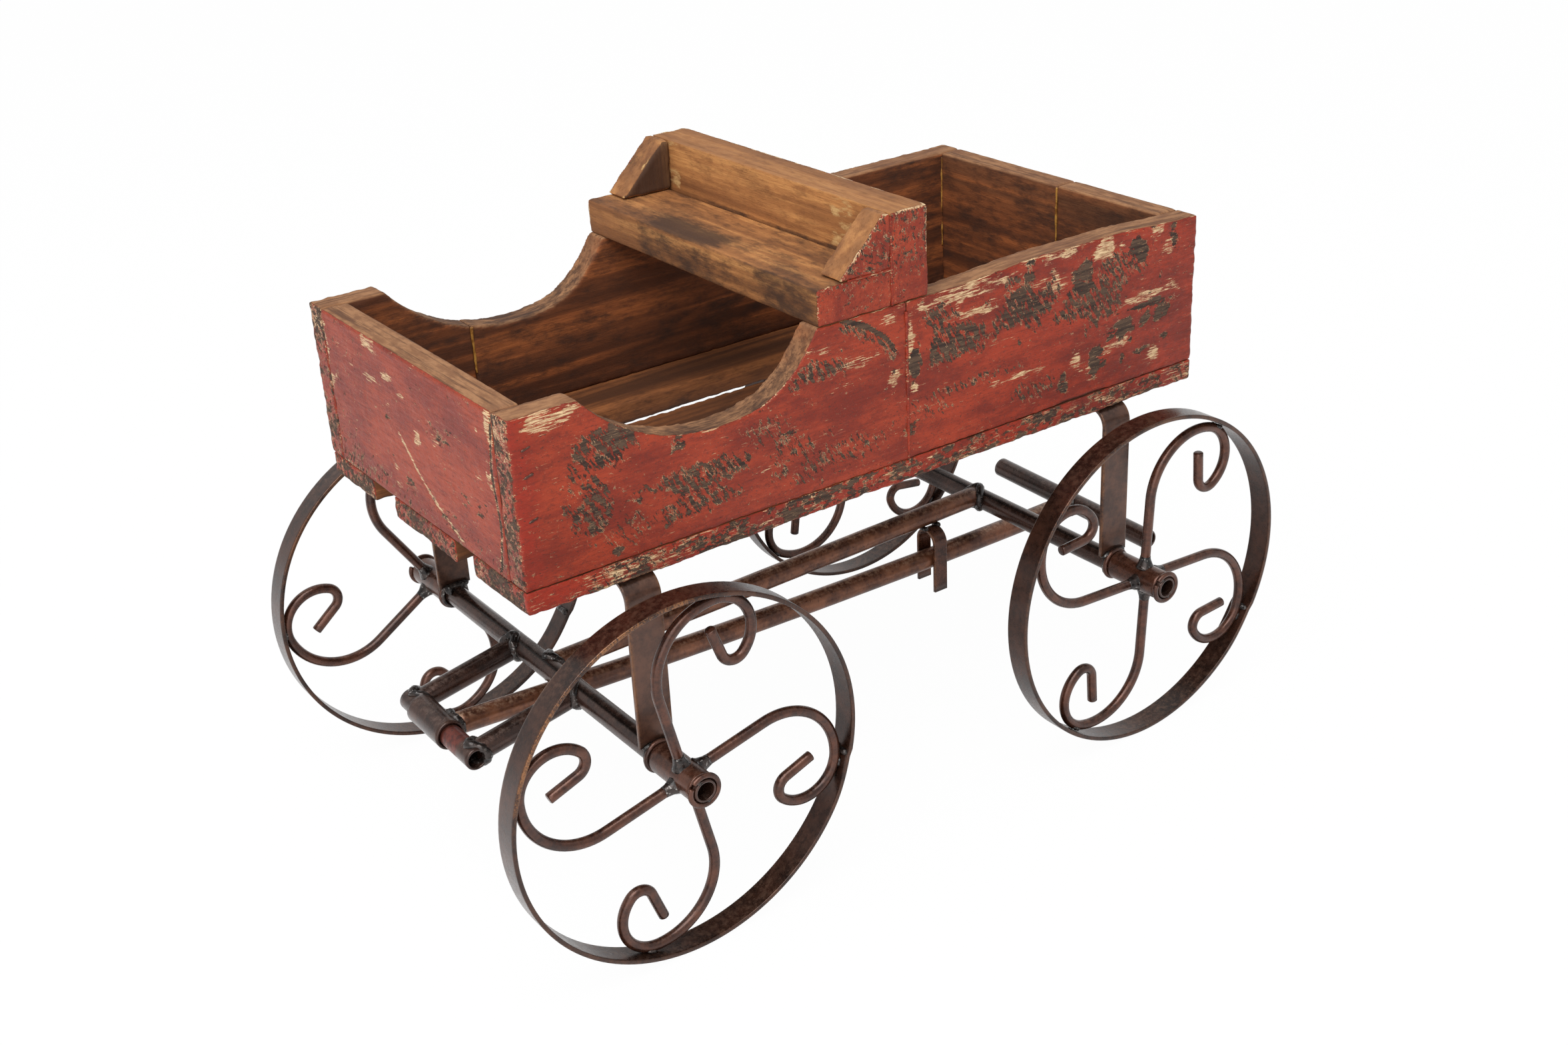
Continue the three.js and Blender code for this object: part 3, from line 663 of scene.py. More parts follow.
def floor_values(seed):
    """A floor plank: bare, with paint on the edges that show under the sides and the front."""
    def describe(points, normals, edge):
        x, y, z = points.T
        at_end = smooth(np.abs(normals[:, 0]), 0.3, 0.75) * (np.abs(x) > box_high.x - 5 * mm)
        at_side = smooth(np.abs(normals[:, 1]), 0.3, 0.75) * (np.abs(y) > box_high.y - 5 * mm)
        painted = np.maximum(at_end, at_side)
        lower = smooth(z, floor_top - 8 * mm, floor_top - 14 * mm)
        broken = rough_noise(points, 14 * mm, seed, 3)
        wide = rough_noise(points, 34 * mm, seed + 4)
        near = np.maximum(smooth(np.abs(x), box_high.x - 7 * mm, box_high.x - 1 * mm),
                          smooth(np.abs(y), box_high.y - 7 * mm, box_high.y - 1 * mm))
        fresh = smooth(x, 0.225, 0.262) * smooth(y, box_high.y - 5 * mm, box_high.y - 1 * mm)
        wear_and_highlight = (1 - 0.6 * fresh) * painted
        push = np.zeros((len(points), 3))
        push[:, 2] = 0.7 * mm * lower * near * (1 - fresh) * np.clip(0.3 + 0.8 * broken, 0, 1.6)
        gouge = 0.6 * mm * np.clip(rough_noise(points, 6 * mm, seed + 9, 3), 0, 1) * wear_and_highlight
        return {
            "paint": painted,
            "saw": 0.5 * wear_and_highlight * np.clip(0.5 + wide, 0, 1),
            "chip": wear_and_highlight * np.clip(0.62 + 0.32 * broken + 0.1 * lower + 0.15 * at_end, 0, 1.05),
            "primer": wear_and_highlight * np.clip(0.45 + 0.4 * wide, 0, 0.95),
            "chalk": np.full(len(points), 0.1),
            "fresh": np.maximum(0.6 * fresh, 0.3 * at_side),
            "weathered_lit_top": np.zeros(len(points)),
            # Painted shade on the undersides.
            "stain_and_shade": smooth(normals[:, 2], 0.2, -0.5) * 0.7,
            "move": -gouge,
            "wear": np.where(z < floor_top - 8 * mm, 0.35 * (1 - fresh) + 0.05, 0.1) * mm,
            "push": push,
        }

    return describe


seat_low, seat_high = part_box("seat_back")
plank_low, plank_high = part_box("seat_plank")


def seat_values(seed, painted_normal):
    """A seat board: bare golden wood, painted on the faces that look out from the wagon."""
    def describe(points, normals, edge):
        x, y, z = points.T
        outside = smooth(np.abs(normals[:, 1]), 0.35, 0.8) * (np.abs(y) > box_high.y - 3 * mm)
        outside = np.maximum(outside, painted_normal(points, normals))
        free = smooth(z, plank_high.z + 3 * mm, plank_high.z + 8 * mm)
        butted = smooth(np.abs(x - seat_high.x), 3.5 * mm, 1.5 * mm)
        corner = smooth(edge, 2.6 * mm, 0.5 * mm) * free * (1 - butted)
        upper = smooth(normals[:, 2], 0.4, 0.8)
        ahead = smooth(normals[:, 0], 0.4, 0.8)
        broken = rough_noise(points, 12 * mm, seed, 3)
        on_plank = z < plank_high.z + 1 * mm
        # Dark stains lie on the front of the plank and inside the right ear.
        front_stain = smooth(x, 0.030, 0.046) * smooth(np.abs(y + 0.02), 55 * mm, 25 * mm)
        plank_front = ahead * smooth(y, -0.078, -0.062)
        ear_inside = smooth(normals[:, 1], 0.4, 0.8) * (y < -0.10) * ~on_plank
        # Paint laps over the seat back's rear edge and the ends. Its front has two pale patches.
        lip = smooth(x, seat_low.x + 3 * mm, seat_low.x + 1.2 * mm) * upper * ~on_plank
        rim = smooth(np.abs(y), box_high.y - 3 * mm, box_high.y - 1.2 * mm)
        lip = np.maximum(lip, rim * np.maximum(upper, ahead) * smooth(z, 0.380, 0.386))
        light = smooth(np.abs(y + 0.112), 14 * mm, 5 * mm) + smooth(np.abs(y - 0.088), 19 * mm, 9 * mm)
        lip = lip * np.clip(0.75 + 0.65 * rough_noise(points, 10 * mm, seed + 8, 2), 0, 1.5)
        stain_and_shade = on_plank * (front_stain * upper * 0.5 + plank_front * 0.45) + 0.95 * ear_inside
        return {
            "paint": np.maximum(outside, 0.7 * lip),
            "saw": 0.6 * outside * smooth(z, 0.385, 0.405),
            "chip": outside * np.clip(0.30 + 0.25 * broken + 0.3 * corner, 0, 0.9),
            "primer": np.maximum(outside * np.clip(0.05 + 0.95 * corner, 0, 1), 1.5 * lip),
            "chalk": np.full(len(points), 0.7),
            # Faces that look up take some of the top colour, lighter as a painted highlight.
            "weathered_lit_top": upper * np.where(on_plank, 0.12, 0.55),
            "stain_and_shade": np.clip(stain_and_shade + upper * np.where(on_plank, 0.32, 0.1), 0, 1),
            "pale": light * ahead * ~on_plank,
            "move": -0.2 * mm * np.clip(broken, 0, 1),
            "wear": np.full(len(points), 0.22 * mm),
        }

    return describe


def unpainted(points, normals):
    return np.zeros(len(points))


def back_face(points, normals):
    return smooth(-normals[:, 0], 0.35, 0.8)


worn_board("left_side_front", red_wood, "red_painted_wood", "X", side_values(1, 11), 11)
worn_board("left_side_rear", red_wood, "red_painted_wood", "X", side_values(1, 11), 12)
worn_board("right_side_front", red_wood, "red_painted_wood", "X", side_values(-1, 31), 13)
worn_board("right_side_rear", red_wood, "red_painted_wood", "X", side_values(-1, 31), 14)
worn_board("front_board", red_wood, "red_painted_wood", "Y", end_values(1, 51), 15)
worn_board("rear_board_left", red_wood, "red_painted_wood", "Y", end_values(-1, 61), 16)
worn_board("rear_board_right", red_wood, "red_painted_wood", "Y", end_values(-1, 61), 17)
for offset, plank in enumerate(("floor_plank_left", "floor_plank_middle", "floor_plank_right")):
    worn_board(plank, floor_wood, "floor_wood", "X", floor_values(70 + offset), 18 + offset)
worn_board("seat_plank", seat_wood, "seat_wood", "Y", seat_values(81, unpainted), 21)
worn_board("seat_back", seat_wood, "seat_wood", "Y", seat_values(84, back_face), 22)
worn_board("seat_ear_left", seat_wood, "red_painted_wood", "Z", seat_values(87, unpainted), 23)
worn_board("seat_ear_right", seat_wood, "red_painted_wood", "Z", seat_values(90, unpainted), 24)


# ---- Round and flat bar -------------------------------------------------------------------


def transport(points, closed=False):
    """The direction of a path at each point, and two more at right angles that twist little."""
    if closed:
        ahead = np.roll(points, -1, axis=0) - np.roll(points, 1, axis=0)
    else:
        ahead = np.gradient(points, axis=0)
    ahead = ahead / np.linalg.norm(ahead, axis=1)[:, None]
    first = np.cross(ahead[0], (0.0, 0.0, 1.0))
    if np.linalg.norm(first) < 0.1:
        first = np.cross(ahead[0], (0.0, 1.0, 0.0))
    sides = [first / np.linalg.norm(first)]
    for direction in ahead[1:]:
        side = sides[-1] - direction * (sides[-1] @ direction)
        sides.append(side / np.linalg.norm(side))
    sides = np.array(sides)
    return ahead, sides, np.cross(ahead, sides)


def flat_rings(path, half_wide, half_thick, radius):
    """Rounded outlines of a flat bar at each point of a path that lies in a plane across X."""
    ahead = np.gradient(path, axis=0)
    ahead = ahead / np.linalg.norm(ahead, axis=1)[:, None]
    wide = np.array([1.0, 0.0, 0.0])
    deep = np.cross(ahead, wide)
    outline = rounded_outline(half_wide, half_thick, radius)
    return path[:, None] + outline[None, :, :1] * wide + outline[None, :, 1:] * deep[:, None]


def rounded_outline(half_wide, half_thick, radius):
    """A rectangle with rounded corners, as (across, through) pairs, with points along its flats."""
    corner_steps = 3
    corners = []
    for a, b, quarter in ((1, 1, 0), (-1, 1, 1), (-1, -1, 2), (1, -1, 3)):
        for step in range(corner_steps + 1):
            angle = (quarter + step / corner_steps) * math.pi / 2
            corners.append((a * (half_wide - radius) + radius * math.cos(angle),
                            b * (half_thick - radius) + radius * math.sin(angle)))
        if quarter % 2 == 0:  # a long flat starts here
            flat = a * (half_wide - radius)
            for share in (0.86, 0.55, 0.0, -0.55, -0.86):
                corners.append((flat * share, b * half_thick))
    return np.array(corners)


def circle_rings(points, radii, count, closed=False):
    """A circle of count points round each point of a path."""
    ahead, side, other = transport(points, closed)
    turn = np.linspace(0, 2 * math.pi, count, endpoint=False)
    spread = np.cos(turn)[None, :, None] * side[:, None] + np.sin(turn)[None, :, None] * other[:, None]
    return points[:, None] + np.asarray(radii)[:, None, None] * spread


class Shape:
    """Vertices and faces of one piece, gathered from several closed bodies."""

    def __init__(self):
        self.points = []
        self.faces = []
        self.count = 0

    def loft(self, rings, loop=False):
        """Skins a stack of rings. loop joins the last to the first, else both ends are closed."""
        stack, sides = rings.shape[:2]
        base = self.count
        grid = base + np.arange(stack * sides).reshape(stack, sides)
        rows = range(stack if loop else stack - 1)
        for row in rows:
            here, there = grid[row], grid[(row + 1) % stack]
            for i in range(sides):
                j = (i + 1) % sides
                self.faces.append((here[i], here[j], there[j], there[i]))
        self.points.append(rings.reshape(-1, 3))
        self.count += stack * sides
        if not loop:
            self.cap(grid[0][::-1], rings[0])
            self.cap(grid[-1], rings[-1])
        return self

    def cap(self, ring, corners):
        self.points.append(corners.mean(axis=0)[None])
        hub = self.count
        self.count += 1
        for i in range(len(ring)):
            self.faces.append((ring[i], ring[(i + 1) % len(ring)], hub))

    def build(self, name, **values):
        """Makes the object. Each value is a function of the points that the material reads."""
        points = np.concatenate(self.points)
        mesh = bpy.data.meshes.new(name)
        mesh.from_pydata(points.tolist(), [], [tuple(map(int, face)) for face in self.faces])
        mesh.update()
        for polygon in mesh.polygons:
            polygon.use_smooth = True
        for key, describe in values.items():
            set_values(mesh, key, describe(points))
        obj = bpy.data.objects.new(name, mesh)
        scene.collection.objects.link(obj)
        return obj


def evenly(start, end, count):
    """Points spaced evenly on a straight line."""
    start, end = np.array(start, float), np.array(end, float)
    return start + np.linspace(0, 1, count)[:, None] * (end - start)


def with_lips(path, lip):
    """A path with one more point just inside each end, where the rounding of a cut end starts."""
    ahead = transport(path)[0]
    first, last = path[0] + ahead[0] * lip, path[-1] - ahead[-1] * lip
    return np.concatenate([path[:1], [first], path[1:-1], [last], path[-1:]])


def pipe(shape, path, outer, inner, seed, sides=40, lip=0.5 * mm):
    """An open pipe along a path, with rounded lips and small dents."""
    dent = 0.12 * mm
    line = with_lips(path, lip)
    radii = np.full(len(line), outer)
    radii[0] = radii[-1] = outer - lip
    outside = circle_rings(line, radii, sides)
    radii = np.full(len(line), inner)
    radii[0] = radii[-1] = inner + 0.4 * lip
    inside = circle_rings(line, radii, sides)[::-1]
    rings = np.concatenate([outside, inside])
    flat = rings.reshape(-1, 3)
    outwards = rings - np.concatenate([line, line[::-1]])[:, None]
    outwards = outwards / np.linalg.norm(outwards, axis=2)[:, :, None]
    wobble = lattice_noise(flat, 14 * mm, seed).reshape(rings.shape[:2])
    rings = rings - outwards * (dent * (0.5 + 0.5 * wobble))[:, :, None]
    return shape.loft(rings, loop=True)


def solid_rod(path, radius, sides=20):
    """A solid rod along a path with straight-cut, slightly rounded ends."""
    lip = 0.5 * mm
    line = with_lips(path, lip)
    radii = np.full(len(line), radius)
    radii[0] = radii[-1] = radius - lip
    return Shape().loft(circle_rings(line, radii, sides))


def bead(shape, path, radius, seed, closed=False, sides=12):
    """A run of weld: a fat, rippled line of metal along a path."""
    pitch = 3.2 * mm  # from one ripple to the next
    steps = np.linalg.norm(np.diff(path, axis=0), axis=1)
    run = np.concatenate([[0], np.cumsum(steps)])
    lumps = 0.95 + 0.16 * np.abs(np.sin(math.pi * run / pitch))
    lumps += 0.26 * lattice_noise(path, 5 * mm, seed) + 0.14 * lattice_noise(path, 2 * mm, seed + 1)
    radii = radius * lumps
    if not closed:
        taper = np.minimum(run, run[-1] - run) / (1.2 * radius)
        radii = radii * np.sqrt(np.clip(taper, 0.04, 1))
    rings = circle_rings(path, radii, sides, closed)
    return shape.loft(rings, loop=closed)


def saddle_path(centre, along, bar, small, large):
    """Where a round tube of radius small, leaving centre along a direction, meets a round bar of
    radius large that runs through centre."""
    along = np.array(along, float) / np.linalg.norm(along)
    bar = np.array(bar, float) / np.linalg.norm(bar)
    across = np.cross(along, bar)
    turn = np.linspace(0, 2 * math.pi, 48, endpoint=False)
    far = np.sqrt(np.maximum(large**2 - (small * np.sin(turn)) ** 2, 0))
    circle = small * (np.cos(turn)[:, None] * bar + np.sin(turn)[:, None] * across)
    return np.array(centre, float) + circle + far[:, None] * along


# ---- Running gear -------------------------------------------------------------------------

tube_outer, tube_inner = 8 * mm, 6.1 * mm
pipe_outer, pipe_inner = 10.65 * mm, 8.5 * mm  # hubs and the handle's sleeve
rod_radius = 3.6 * mm
strap_thick, strap_bend = 3 * mm, 14 * mm
clip_thick = 2.6 * mm
reach_front = (-1.5 * mm, 0)  # the reach's centre line: left of the middle, and above the axles
reach_rear = (-7.5 * mm, 3.5 * mm)
yoke_arm_y = 42 * mm
handle_bow_z = 92.7 * mm  # height of the control point that bows the long tube
grip_half = 92 * mm
grip_skew = math.radians(-2.2)

front_axle_low, front_axle_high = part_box("axle_front")
axle_x = (front_axle_low.x + front_axle_high.x) / 2
axle_z = (front_axle_low.z + front_axle_high.z) / 2
axle_end = front_axle_high.y
pin_low, pin_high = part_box("yoke_pin")
pin = np.array([(pin_low.x + pin_high.x) / 2, 0, (pin_low.z + pin_high.z) / 2])
strap_low, strap_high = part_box("strap_front")
sideways = (0, 1, 0)

frame_welds = Shape()


def middle(node):
    low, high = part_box(node)
    return (np.array(low) + np.array(high)) / 2


def axle(node, x, seed):
    """A tube from wheel to wheel, with its weld seam as a dark line along its upper front."""
    def seam(points):
        turn = np.arctan2(points[:, 2] - axle_z, points[:, 0] - x)
        return smooth(np.abs(turn - 1.15), 0.17, 0.06)

    path = evenly((x, -axle_end, axle_z), (x, axle_end, axle_z), 60)
    shape = pipe(Shape(), path, tube_outer, tube_inner, seed, lip=0.7 * mm)
    finish_piece(shape.build(f"{node}_fine", seam=seam), "frame", black_iron, "dark_iron", node)


def strap(node, x):
    """Flat bar bent into an upside-down U, rubbed at its edges and welded to the axle."""
    def rub(points):
        return smooth(np.abs(points[:, 0] - x), 10.5 * mm, 12.6 * mm) * 0.6

    low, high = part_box(node)
    half = strap_thick / 2
    outer_y, top = high.y - half, high.z - half
    inner = strap_bend - half
    bend = np.linspace(0, math.pi / 2, 14)
    left = [(outer_y - inner + inner * math.cos(a), top - inner + inner * math.sin(a)) for a in bend]
    right = [(-y, z) for y, z in reversed(left)]
    profile = [(outer_y, low.z)] + left + right + [(-outer_y, low.z)]
    points = np.array([(x, y, z) for y, z in profile])
    path = [points[0]]
    for a, b in zip(points, points[1:]):
        steps = max(1, int(np.linalg.norm(b - a) / (6 * mm)))
        path.extend(evenly(a, b, steps + 1)[1:])
    shape = Shape().loft(flat_rings(np.array(path), (high.x - low.x) / 2, half, 0.7 * mm))
    finish_piece(shape.build(f"{node}_fine", rub=rub), "frame", satin_iron, "dark_iron", node)

    foot = strap_low.z - 0.2 * mm
    for side, face in product((-1, 1), (-1, 1)):
        y = side * (strap_high.y - half) + face * 1.6 * mm
        path = evenly((x - 11 * mm, y, foot), (x + 11 * mm, y, foot), 26)
        bead(frame_welds, path, 2.9 * mm, 900 + 10 * side + face)
    if x > 0:  # one foot of the front strap has a fat drop of weld beside it
        drop = np.array([x + 5 * mm, -strap_high.y + 7.5 * mm, foot + 0.5 * mm])
        bead(frame_welds, evenly(drop, drop + (5 * mm, 0, -1 * mm), 16), 5.4 * mm, 931, sides=18)


def screw(node):
    """A domed screw that holds a strap to the floor from below."""
    low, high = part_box(node)
    centre = middle(node)
    seat_z = strap_high.z - strap_thick - 0.3 * mm
    # The radius in millimetres and the height of each ring, from the crown to the point.
    profile = [(0.6, low.z), (3.2, low.z + 0.15 * mm), (4.1, low.z + 0.9 * mm), (4.4, seat_z),
               (2.2, seat_z), (2.2, high.z - 4 * mm), (0.3, high.z)]
    line = np.array([(centre[0], centre[1], z) for _, z in profile])
    turn = np.linspace(0, 2 * math.pi, 24, endpoint=False)
    circle = np.stack([np.cos(turn), np.sin(turn), 0 * turn], axis=1)
    radii = np.array([r for r, _ in profile]) * mm
    shape = Shape().loft(line[:, None] + radii[:, None, None] * circle[None])
    finish_piece(shape.build(f"{node}_fine"), "frame", screw_steel, "screw_steel", node)


def welded_tube(shape, start, end, count, seed):
    """A frame tube whose ends stop inside the bars that it is welded to. Returns its direction."""
    along = (end - start) / np.linalg.norm(end - start)
    path = evenly(start + along * 5 * mm, end - along * 5 * mm, count)
    pipe(shape, path, tube_outer, tube_inner, seed)
    return along


def saddle_weld(shape, centre, along, radius, seed, bar=sideways, large=tube_outer):
    bead(shape, saddle_path(centre, along, bar, tube_outer, large), radius, seed, closed=True)


def reach():
    """The tube that joins the axles."""
    front = np.array([axle_x, reach_front[0], axle_z + reach_front[1]])
    rear = np.array([-axle_x, reach_rear[0], axle_z + reach_rear[1]])
    shape = Shape()
    along = welded_tube(shape, front, rear, 60, 5)
    finish_piece(shape.build("reach_tube_fine"), "frame", brown_iron, "dark_iron", "reach_tube")
    saddle_weld(frame_welds, front, along, 3.1 * mm, 21)
    saddle_weld(frame_welds, rear - np.array([0, 0, 2 * mm]), -along, 3.2 * mm, 22)


def yoke():
    """Two arms ahead of the front axle, and the pin that the handle turns on."""
    def bare(points):
        return smooth(points[:, 1], 11 * mm, 14 * mm) * smooth(points[:, 1], 36 * mm, 32 * mm)

    for side, name in ((1, "left"), (-1, "right")):
        y = side * yoke_arm_y
        back = np.array([axle_x, y, axle_z])
        tip = np.array([pin[0], y, pin[2]])
        shape = Shape()
        along = welded_tube(shape, back, tip, 24, 30 + side)
        node = f"yoke_arm_{name}"
        finish_piece(shape.build(f"{node}_fine"), "frame", black_iron, "dark_iron", node)
        saddle_weld(frame_welds, back, along, 3.2 * mm, 33 + side)
        saddle_weld(frame_welds, tip, -along, 2.9 * mm, 36 + side)
    path = evenly((pin[0], pin_low.y, pin[2]), (pin[0], pin_high.y, pin[2]), 30)
    shape = pipe(Shape(), path, tube_outer, tube_inner, 41, lip=0.7 * mm)
    piece = shape.build("yoke_pin_fine", bare=bare)
    finish_piece(piece, "frame", black_iron, "bare_rusty_iron", "yoke_pin")


def handle():
    """A sleeve on the pin, a long bowed tube and a grip that stands a little askew."""
    low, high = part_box("handle_sleeve")
    path = evenly((pin[0], low.y, pin[2]), (pin[0], high.y, pin[2]), 16)
    shape = pipe(Shape(), path, pipe_outer, pipe_inner, 44, lip=0.6 * mm)
    finish_piece(shape.build("handle_sleeve_fine"), "handle", black_iron, "dark_iron", "handle_sleeve")

    grip = middle("handle_grip")
    bottom = np.array([(pin[0] + grip[0]) / 2, 0, handle_bow_z])
    t = np.linspace(0.018, 0.989, 90)[:, None]
    bow = (1 - t) ** 2 * pin + 2 * t * (1 - t) * bottom + t**2 * grip
    shape = pipe(Shape(), bow, tube_outer, tube_inner, 45)
    finish_piece(shape.build("handle_tube_fine"), "handle", brown_iron, "dark_iron", "handle_tube")

    across = np.array([-math.sin(grip_skew), math.cos(grip_skew), 0])
    path = evenly(grip - across * grip_half, grip + across * grip_half, 50)
    shape = pipe(Shape(), path, tube_outer, tube_inner, 46, lip=1.2 * mm)
    finish_piece(shape.build("handle_grip_fine"), "handle", black_iron, "dark_iron", "handle_grip")

    beads = Shape()
    saddle_weld(beads, pin, bow[3] - bow[0], 2.8 * mm, 47, large=pipe_outer)
    saddle_weld(beads, grip, bow[-4] - bow[-1], 2.8 * mm, 48, bar=across)
    finish_piece(beads.build("handle_welds"), "handle", weld, "dark_iron")


def clip():
    """A small upside-down U of flat bar that the folded handle snaps into."""
    low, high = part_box("handle_clip")
    centre_x = (low.x + high.x) / 2

    def rub(points):
        return 0.5 * smooth(np.abs(points[:, 0] - centre_x), 4.5 * mm, 6 * mm)

    radius = (high.y - low.y) / 2 - clip_thick / 2
    arch_z = high.z - radius - clip_thick / 2
    arc = [(radius * math.cos(a), arch_z + radius * math.sin(a)) for a in np.linspace(0, math.pi, 24)]
    left = [(radius, z) for z in np.linspace(low.z, arch_z, 8)[:-1]]
    right = [(-radius, z) for z in np.linspace(arch_z, low.z + 4 * mm, 8)[1:]]
    path = np.array([(centre_x, y, z) for y, z in left + arc + right])
    shape = Shape().loft(flat_rings(path, (high.x - low.x) / 2, clip_thick / 2, 0.6 * mm))
    piece = shape.build("handle_clip_fine", rub=rub)
    finish_piece(piece, "frame", dark_iron, "dark_iron", "handle_clip")
    for face in (-1, 1):
        x = centre_x + face * 6.3 * mm
        path = evenly((x, -7 * mm, high.z - 0.5 * mm), (x, 3 * mm, high.z + 0.5 * mm), 16)
        bead(frame_welds, path, 2.0 * mm, 50 + face)


# ---- Wheels -------------------------------------------------------------------------------

# How far each wheel has turned, and where each rim's ends meet, in degrees.
wheel_phase = {"front_left": 0, "front_right": 20, "rear_left": -16, "rear_right": -28}
rim_lap = {"front_left": -166, "front_right": -148, "rear_left": -150, "rear_right": 40}
rim_thick = 3 * mm
ring_outer, ring_inner = 12.2 * mm, 8.3 * mm  # radii of the rings round the axles
ring_opening = math.radians(16)
spoke_start = (10.7, 3.6)  # along and above the line from the hub, in millimetres
spoke_heading = 12.8  # degrees
# Straight runs are one length. Curls are a radius and the angle they turn through.
spoke_runs = [(50.5,), (45.3, 103.6), (25.7, 133.5), (9.5, 116), (22,)]


def scroll_path():
    """The centre line of a spoke as (out from the hub, up) pairs in metres."""
    at = np.array(spoke_start)
    heading = math.radians(spoke_heading)
    line = [at]
    for run in spoke_runs:
        if len(run) == 1:
            steps = 6
            forward = np.array([math.cos(heading), math.sin(heading)])
            line.extend(at + forward * run[0] * i / steps for i in range(1, steps + 1))
        else:
            radius, turn = run[0], math.radians(run[1])
            steps = max(8, int(run[1] / 4))
            centre = at + radius * np.array([math.sin(heading), -math.cos(heading)])
            for i in range(1, steps + 1):
                angle = heading - turn * i / steps
                line.append(centre - radius * np.array([math.sin(angle), -math.cos(angle)]))
            heading -= turn
        at = line[-1]
    return np.array(line) * mm


def in_wheel(flat, angle, centre):
    """Places (out, up) pairs in a wheel's plane, turned about its axle by angle."""
    x, z = -flat[:, 0], flat[:, 1]
    c, s = math.cos(angle), math.sin(angle)
    turned = np.stack([x * c + z * s, 0 * x, z * c - x * s], axis=1)
    return centre + turned


def around(centre, radius, turn):
    """Points round a centre in the plane of a wheel, at angles from the front upwards."""
    return centre + radius * np.stack([np.cos(turn), 0 * turn, np.sin(turn)], axis=-1)


def rim(name, centre, body, seed):
    """A flat bar rolled into a hoop, lapped and welded where its ends meet. Returns its outer radius."""
    low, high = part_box(f"rim_{name}")
    outer = (high.z - low.z) / 2
    half_wide = (high.y - low.y) / 2
    outline = rounded_outline(half_wide, rim_thick / 2, 0.8 * mm)
    turn = np.linspace(0, 2 * math.pi, 144, endpoint=False)
    away = np.angle(np.exp(1j * (turn - math.radians(rim_lap[name]))))
    squeeze = 0.15 * mm * (1 - np.cos(2 * turn + seed))  # the hoop is not quite round
    step = 1.2 * mm * smooth(away, -0.02, 0.0) * smooth(away, 0.30, 0.0)
    radius = outer - rim_thick / 2 - squeeze - step
    out = around(0.0, 1.0, turn)
    rings = (centre + radius[:, None] * out)[:, None] + outline[None, :, 1:] * out[:, None]
    rings = rings + outline[None, :, :1] * np.array([0.0, 1.0, 0.0])
    most = 1.0 if name == "front_left" else 0.25

    def rub(points):
        """The rim's edges are rubbed, most of all on the upper front of the near wheel."""
        on_edge = smooth(np.abs(points[:, 1] - centre[1]), half_wide - 1.2 * mm, half_wide - 0.1 * mm)
        upper = smooth(points[:, 2], centre[2], centre[2] + 60 * mm)
        return on_edge * (0.12 + most * upper * smooth(points[:, 0], centre[0] - 30 * mm, centre[0]))

    piece = Shape().loft(rings[::-1], loop=True).build(f"rim_{name}_fine", rub=rub)
    finish_piece(piece, body, rim_iron, "dark_iron", f"rim_{name}")
    return outer


def root_weld(beads, path, seed):
    """Weld that spreads from a spoke's root onto the hub."""
    out = path[1] - path[0]
    out = out / np.linalg.norm(out)
    t = np.linspace(0, 1, 9)
    cone = path[0] + out * ((9 * t - 2.5) * mm)[:, None]
    radii = rod_radius + 0.15 * mm + 2.9 * mm * (1 - t) ** 1.6
    rings = circle_rings(cone, radii, 22)
    lumps = rough_noise(rings.reshape(-1, 3), 3.5 * mm, seed, 2).reshape(rings.shape[:2])
    outwards = (rings - cone[:, None]) / radii[:, None, None]
    beads.loft(rings + outwards * (0.55 * mm * lumps * (1.1 - t)[:, None])[:, :, None])


def rim_weld(beads, path, centre, seed):
    """Two short runs that hold a spoke to the rim where it comes nearest to it."""
    touch = int(np.linalg.norm(path - centre, axis=1).argmax())
    run = path[touch - 2:touch + 3]
    outward = (run - centre) / np.linalg.norm(run - centre, axis=1)[:, None]
    for face in (-1, 1):
        fillet = run + outward * 2.2 * mm + np.array([0, face * 2.6 * mm, 0])
        dense = np.concatenate([evenly(a, b, 5)[:-1] for a, b in zip(fillet, fillet[1:])])
        bead(beads, dense, 1.5 * mm, seed, sides=10)


def wheel(name):
    """A rim, a hub and four scroll spokes, welded together."""
    centre = middle(f"rim_{name}")
    body = f"wheel_{name}"
    seed = list(wheel_phase).index(name)
    outer = rim(name, centre, body, seed)

    low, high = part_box(f"hub_{name}")
    path = evenly((centre[0], low.y, centre[2]), (centre[0], high.y, centre[2]), 18)
    shape = pipe(Shape(), path, pipe_outer, pipe_inner, 60 + seed, sides=48, lip=0.6 * mm)
    finish_piece(shape.build(f"hub_{name}_fine"), body, dark_iron, "dark_iron", f"hub_{name}")

    beads = Shape()
    scroll = scroll_path()
    for i in range(4):
        path = in_wheel(scroll, math.radians(wheel_phase[name] + 90 * i), centre)
        node = f"spoke_{name}_{i + 1}"
        piece = solid_rod(path, rod_radius).build(f"{node}_fine")
        finish_piece(piece, body, dark_iron, "dark_iron", node)
        root_weld(beads, path, 100 + i)
        rim_weld(beads, path, centre, 120 + i)
    lap = around(centre, outer - 3.6 * mm, np.radians(rim_lap[name]))
    bead(beads, evenly(lap - (0, 8 * mm, 0), lap + (0, 8 * mm, 0), 16), 2.6 * mm, 140)
    finish_piece(beads.build(f"wheel_{name}_welds"), body, weld, "dark_iron")


def axle_ring(node, open_at):
    """A ring of round rod bent round the axle, with its ends a little apart. Returns its middle."""
    low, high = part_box(node)
    centre = middle(node)
    centre[0] = axle_x if "front" in node else -axle_x
    centre[2] = axle_z
    turn = np.linspace(ring_opening / 2, 2 * math.pi - ring_opening / 2, 60) + math.radians(open_at)
    path = around(centre, (ring_outer + ring_inner) / 2, turn)
    piece = solid_rod(path, (high.y - low.y) / 2, sides=18).build(f"{node}_fine")
    finish_piece(piece, "frame", dark_iron, "dark_iron", node)
    return centre


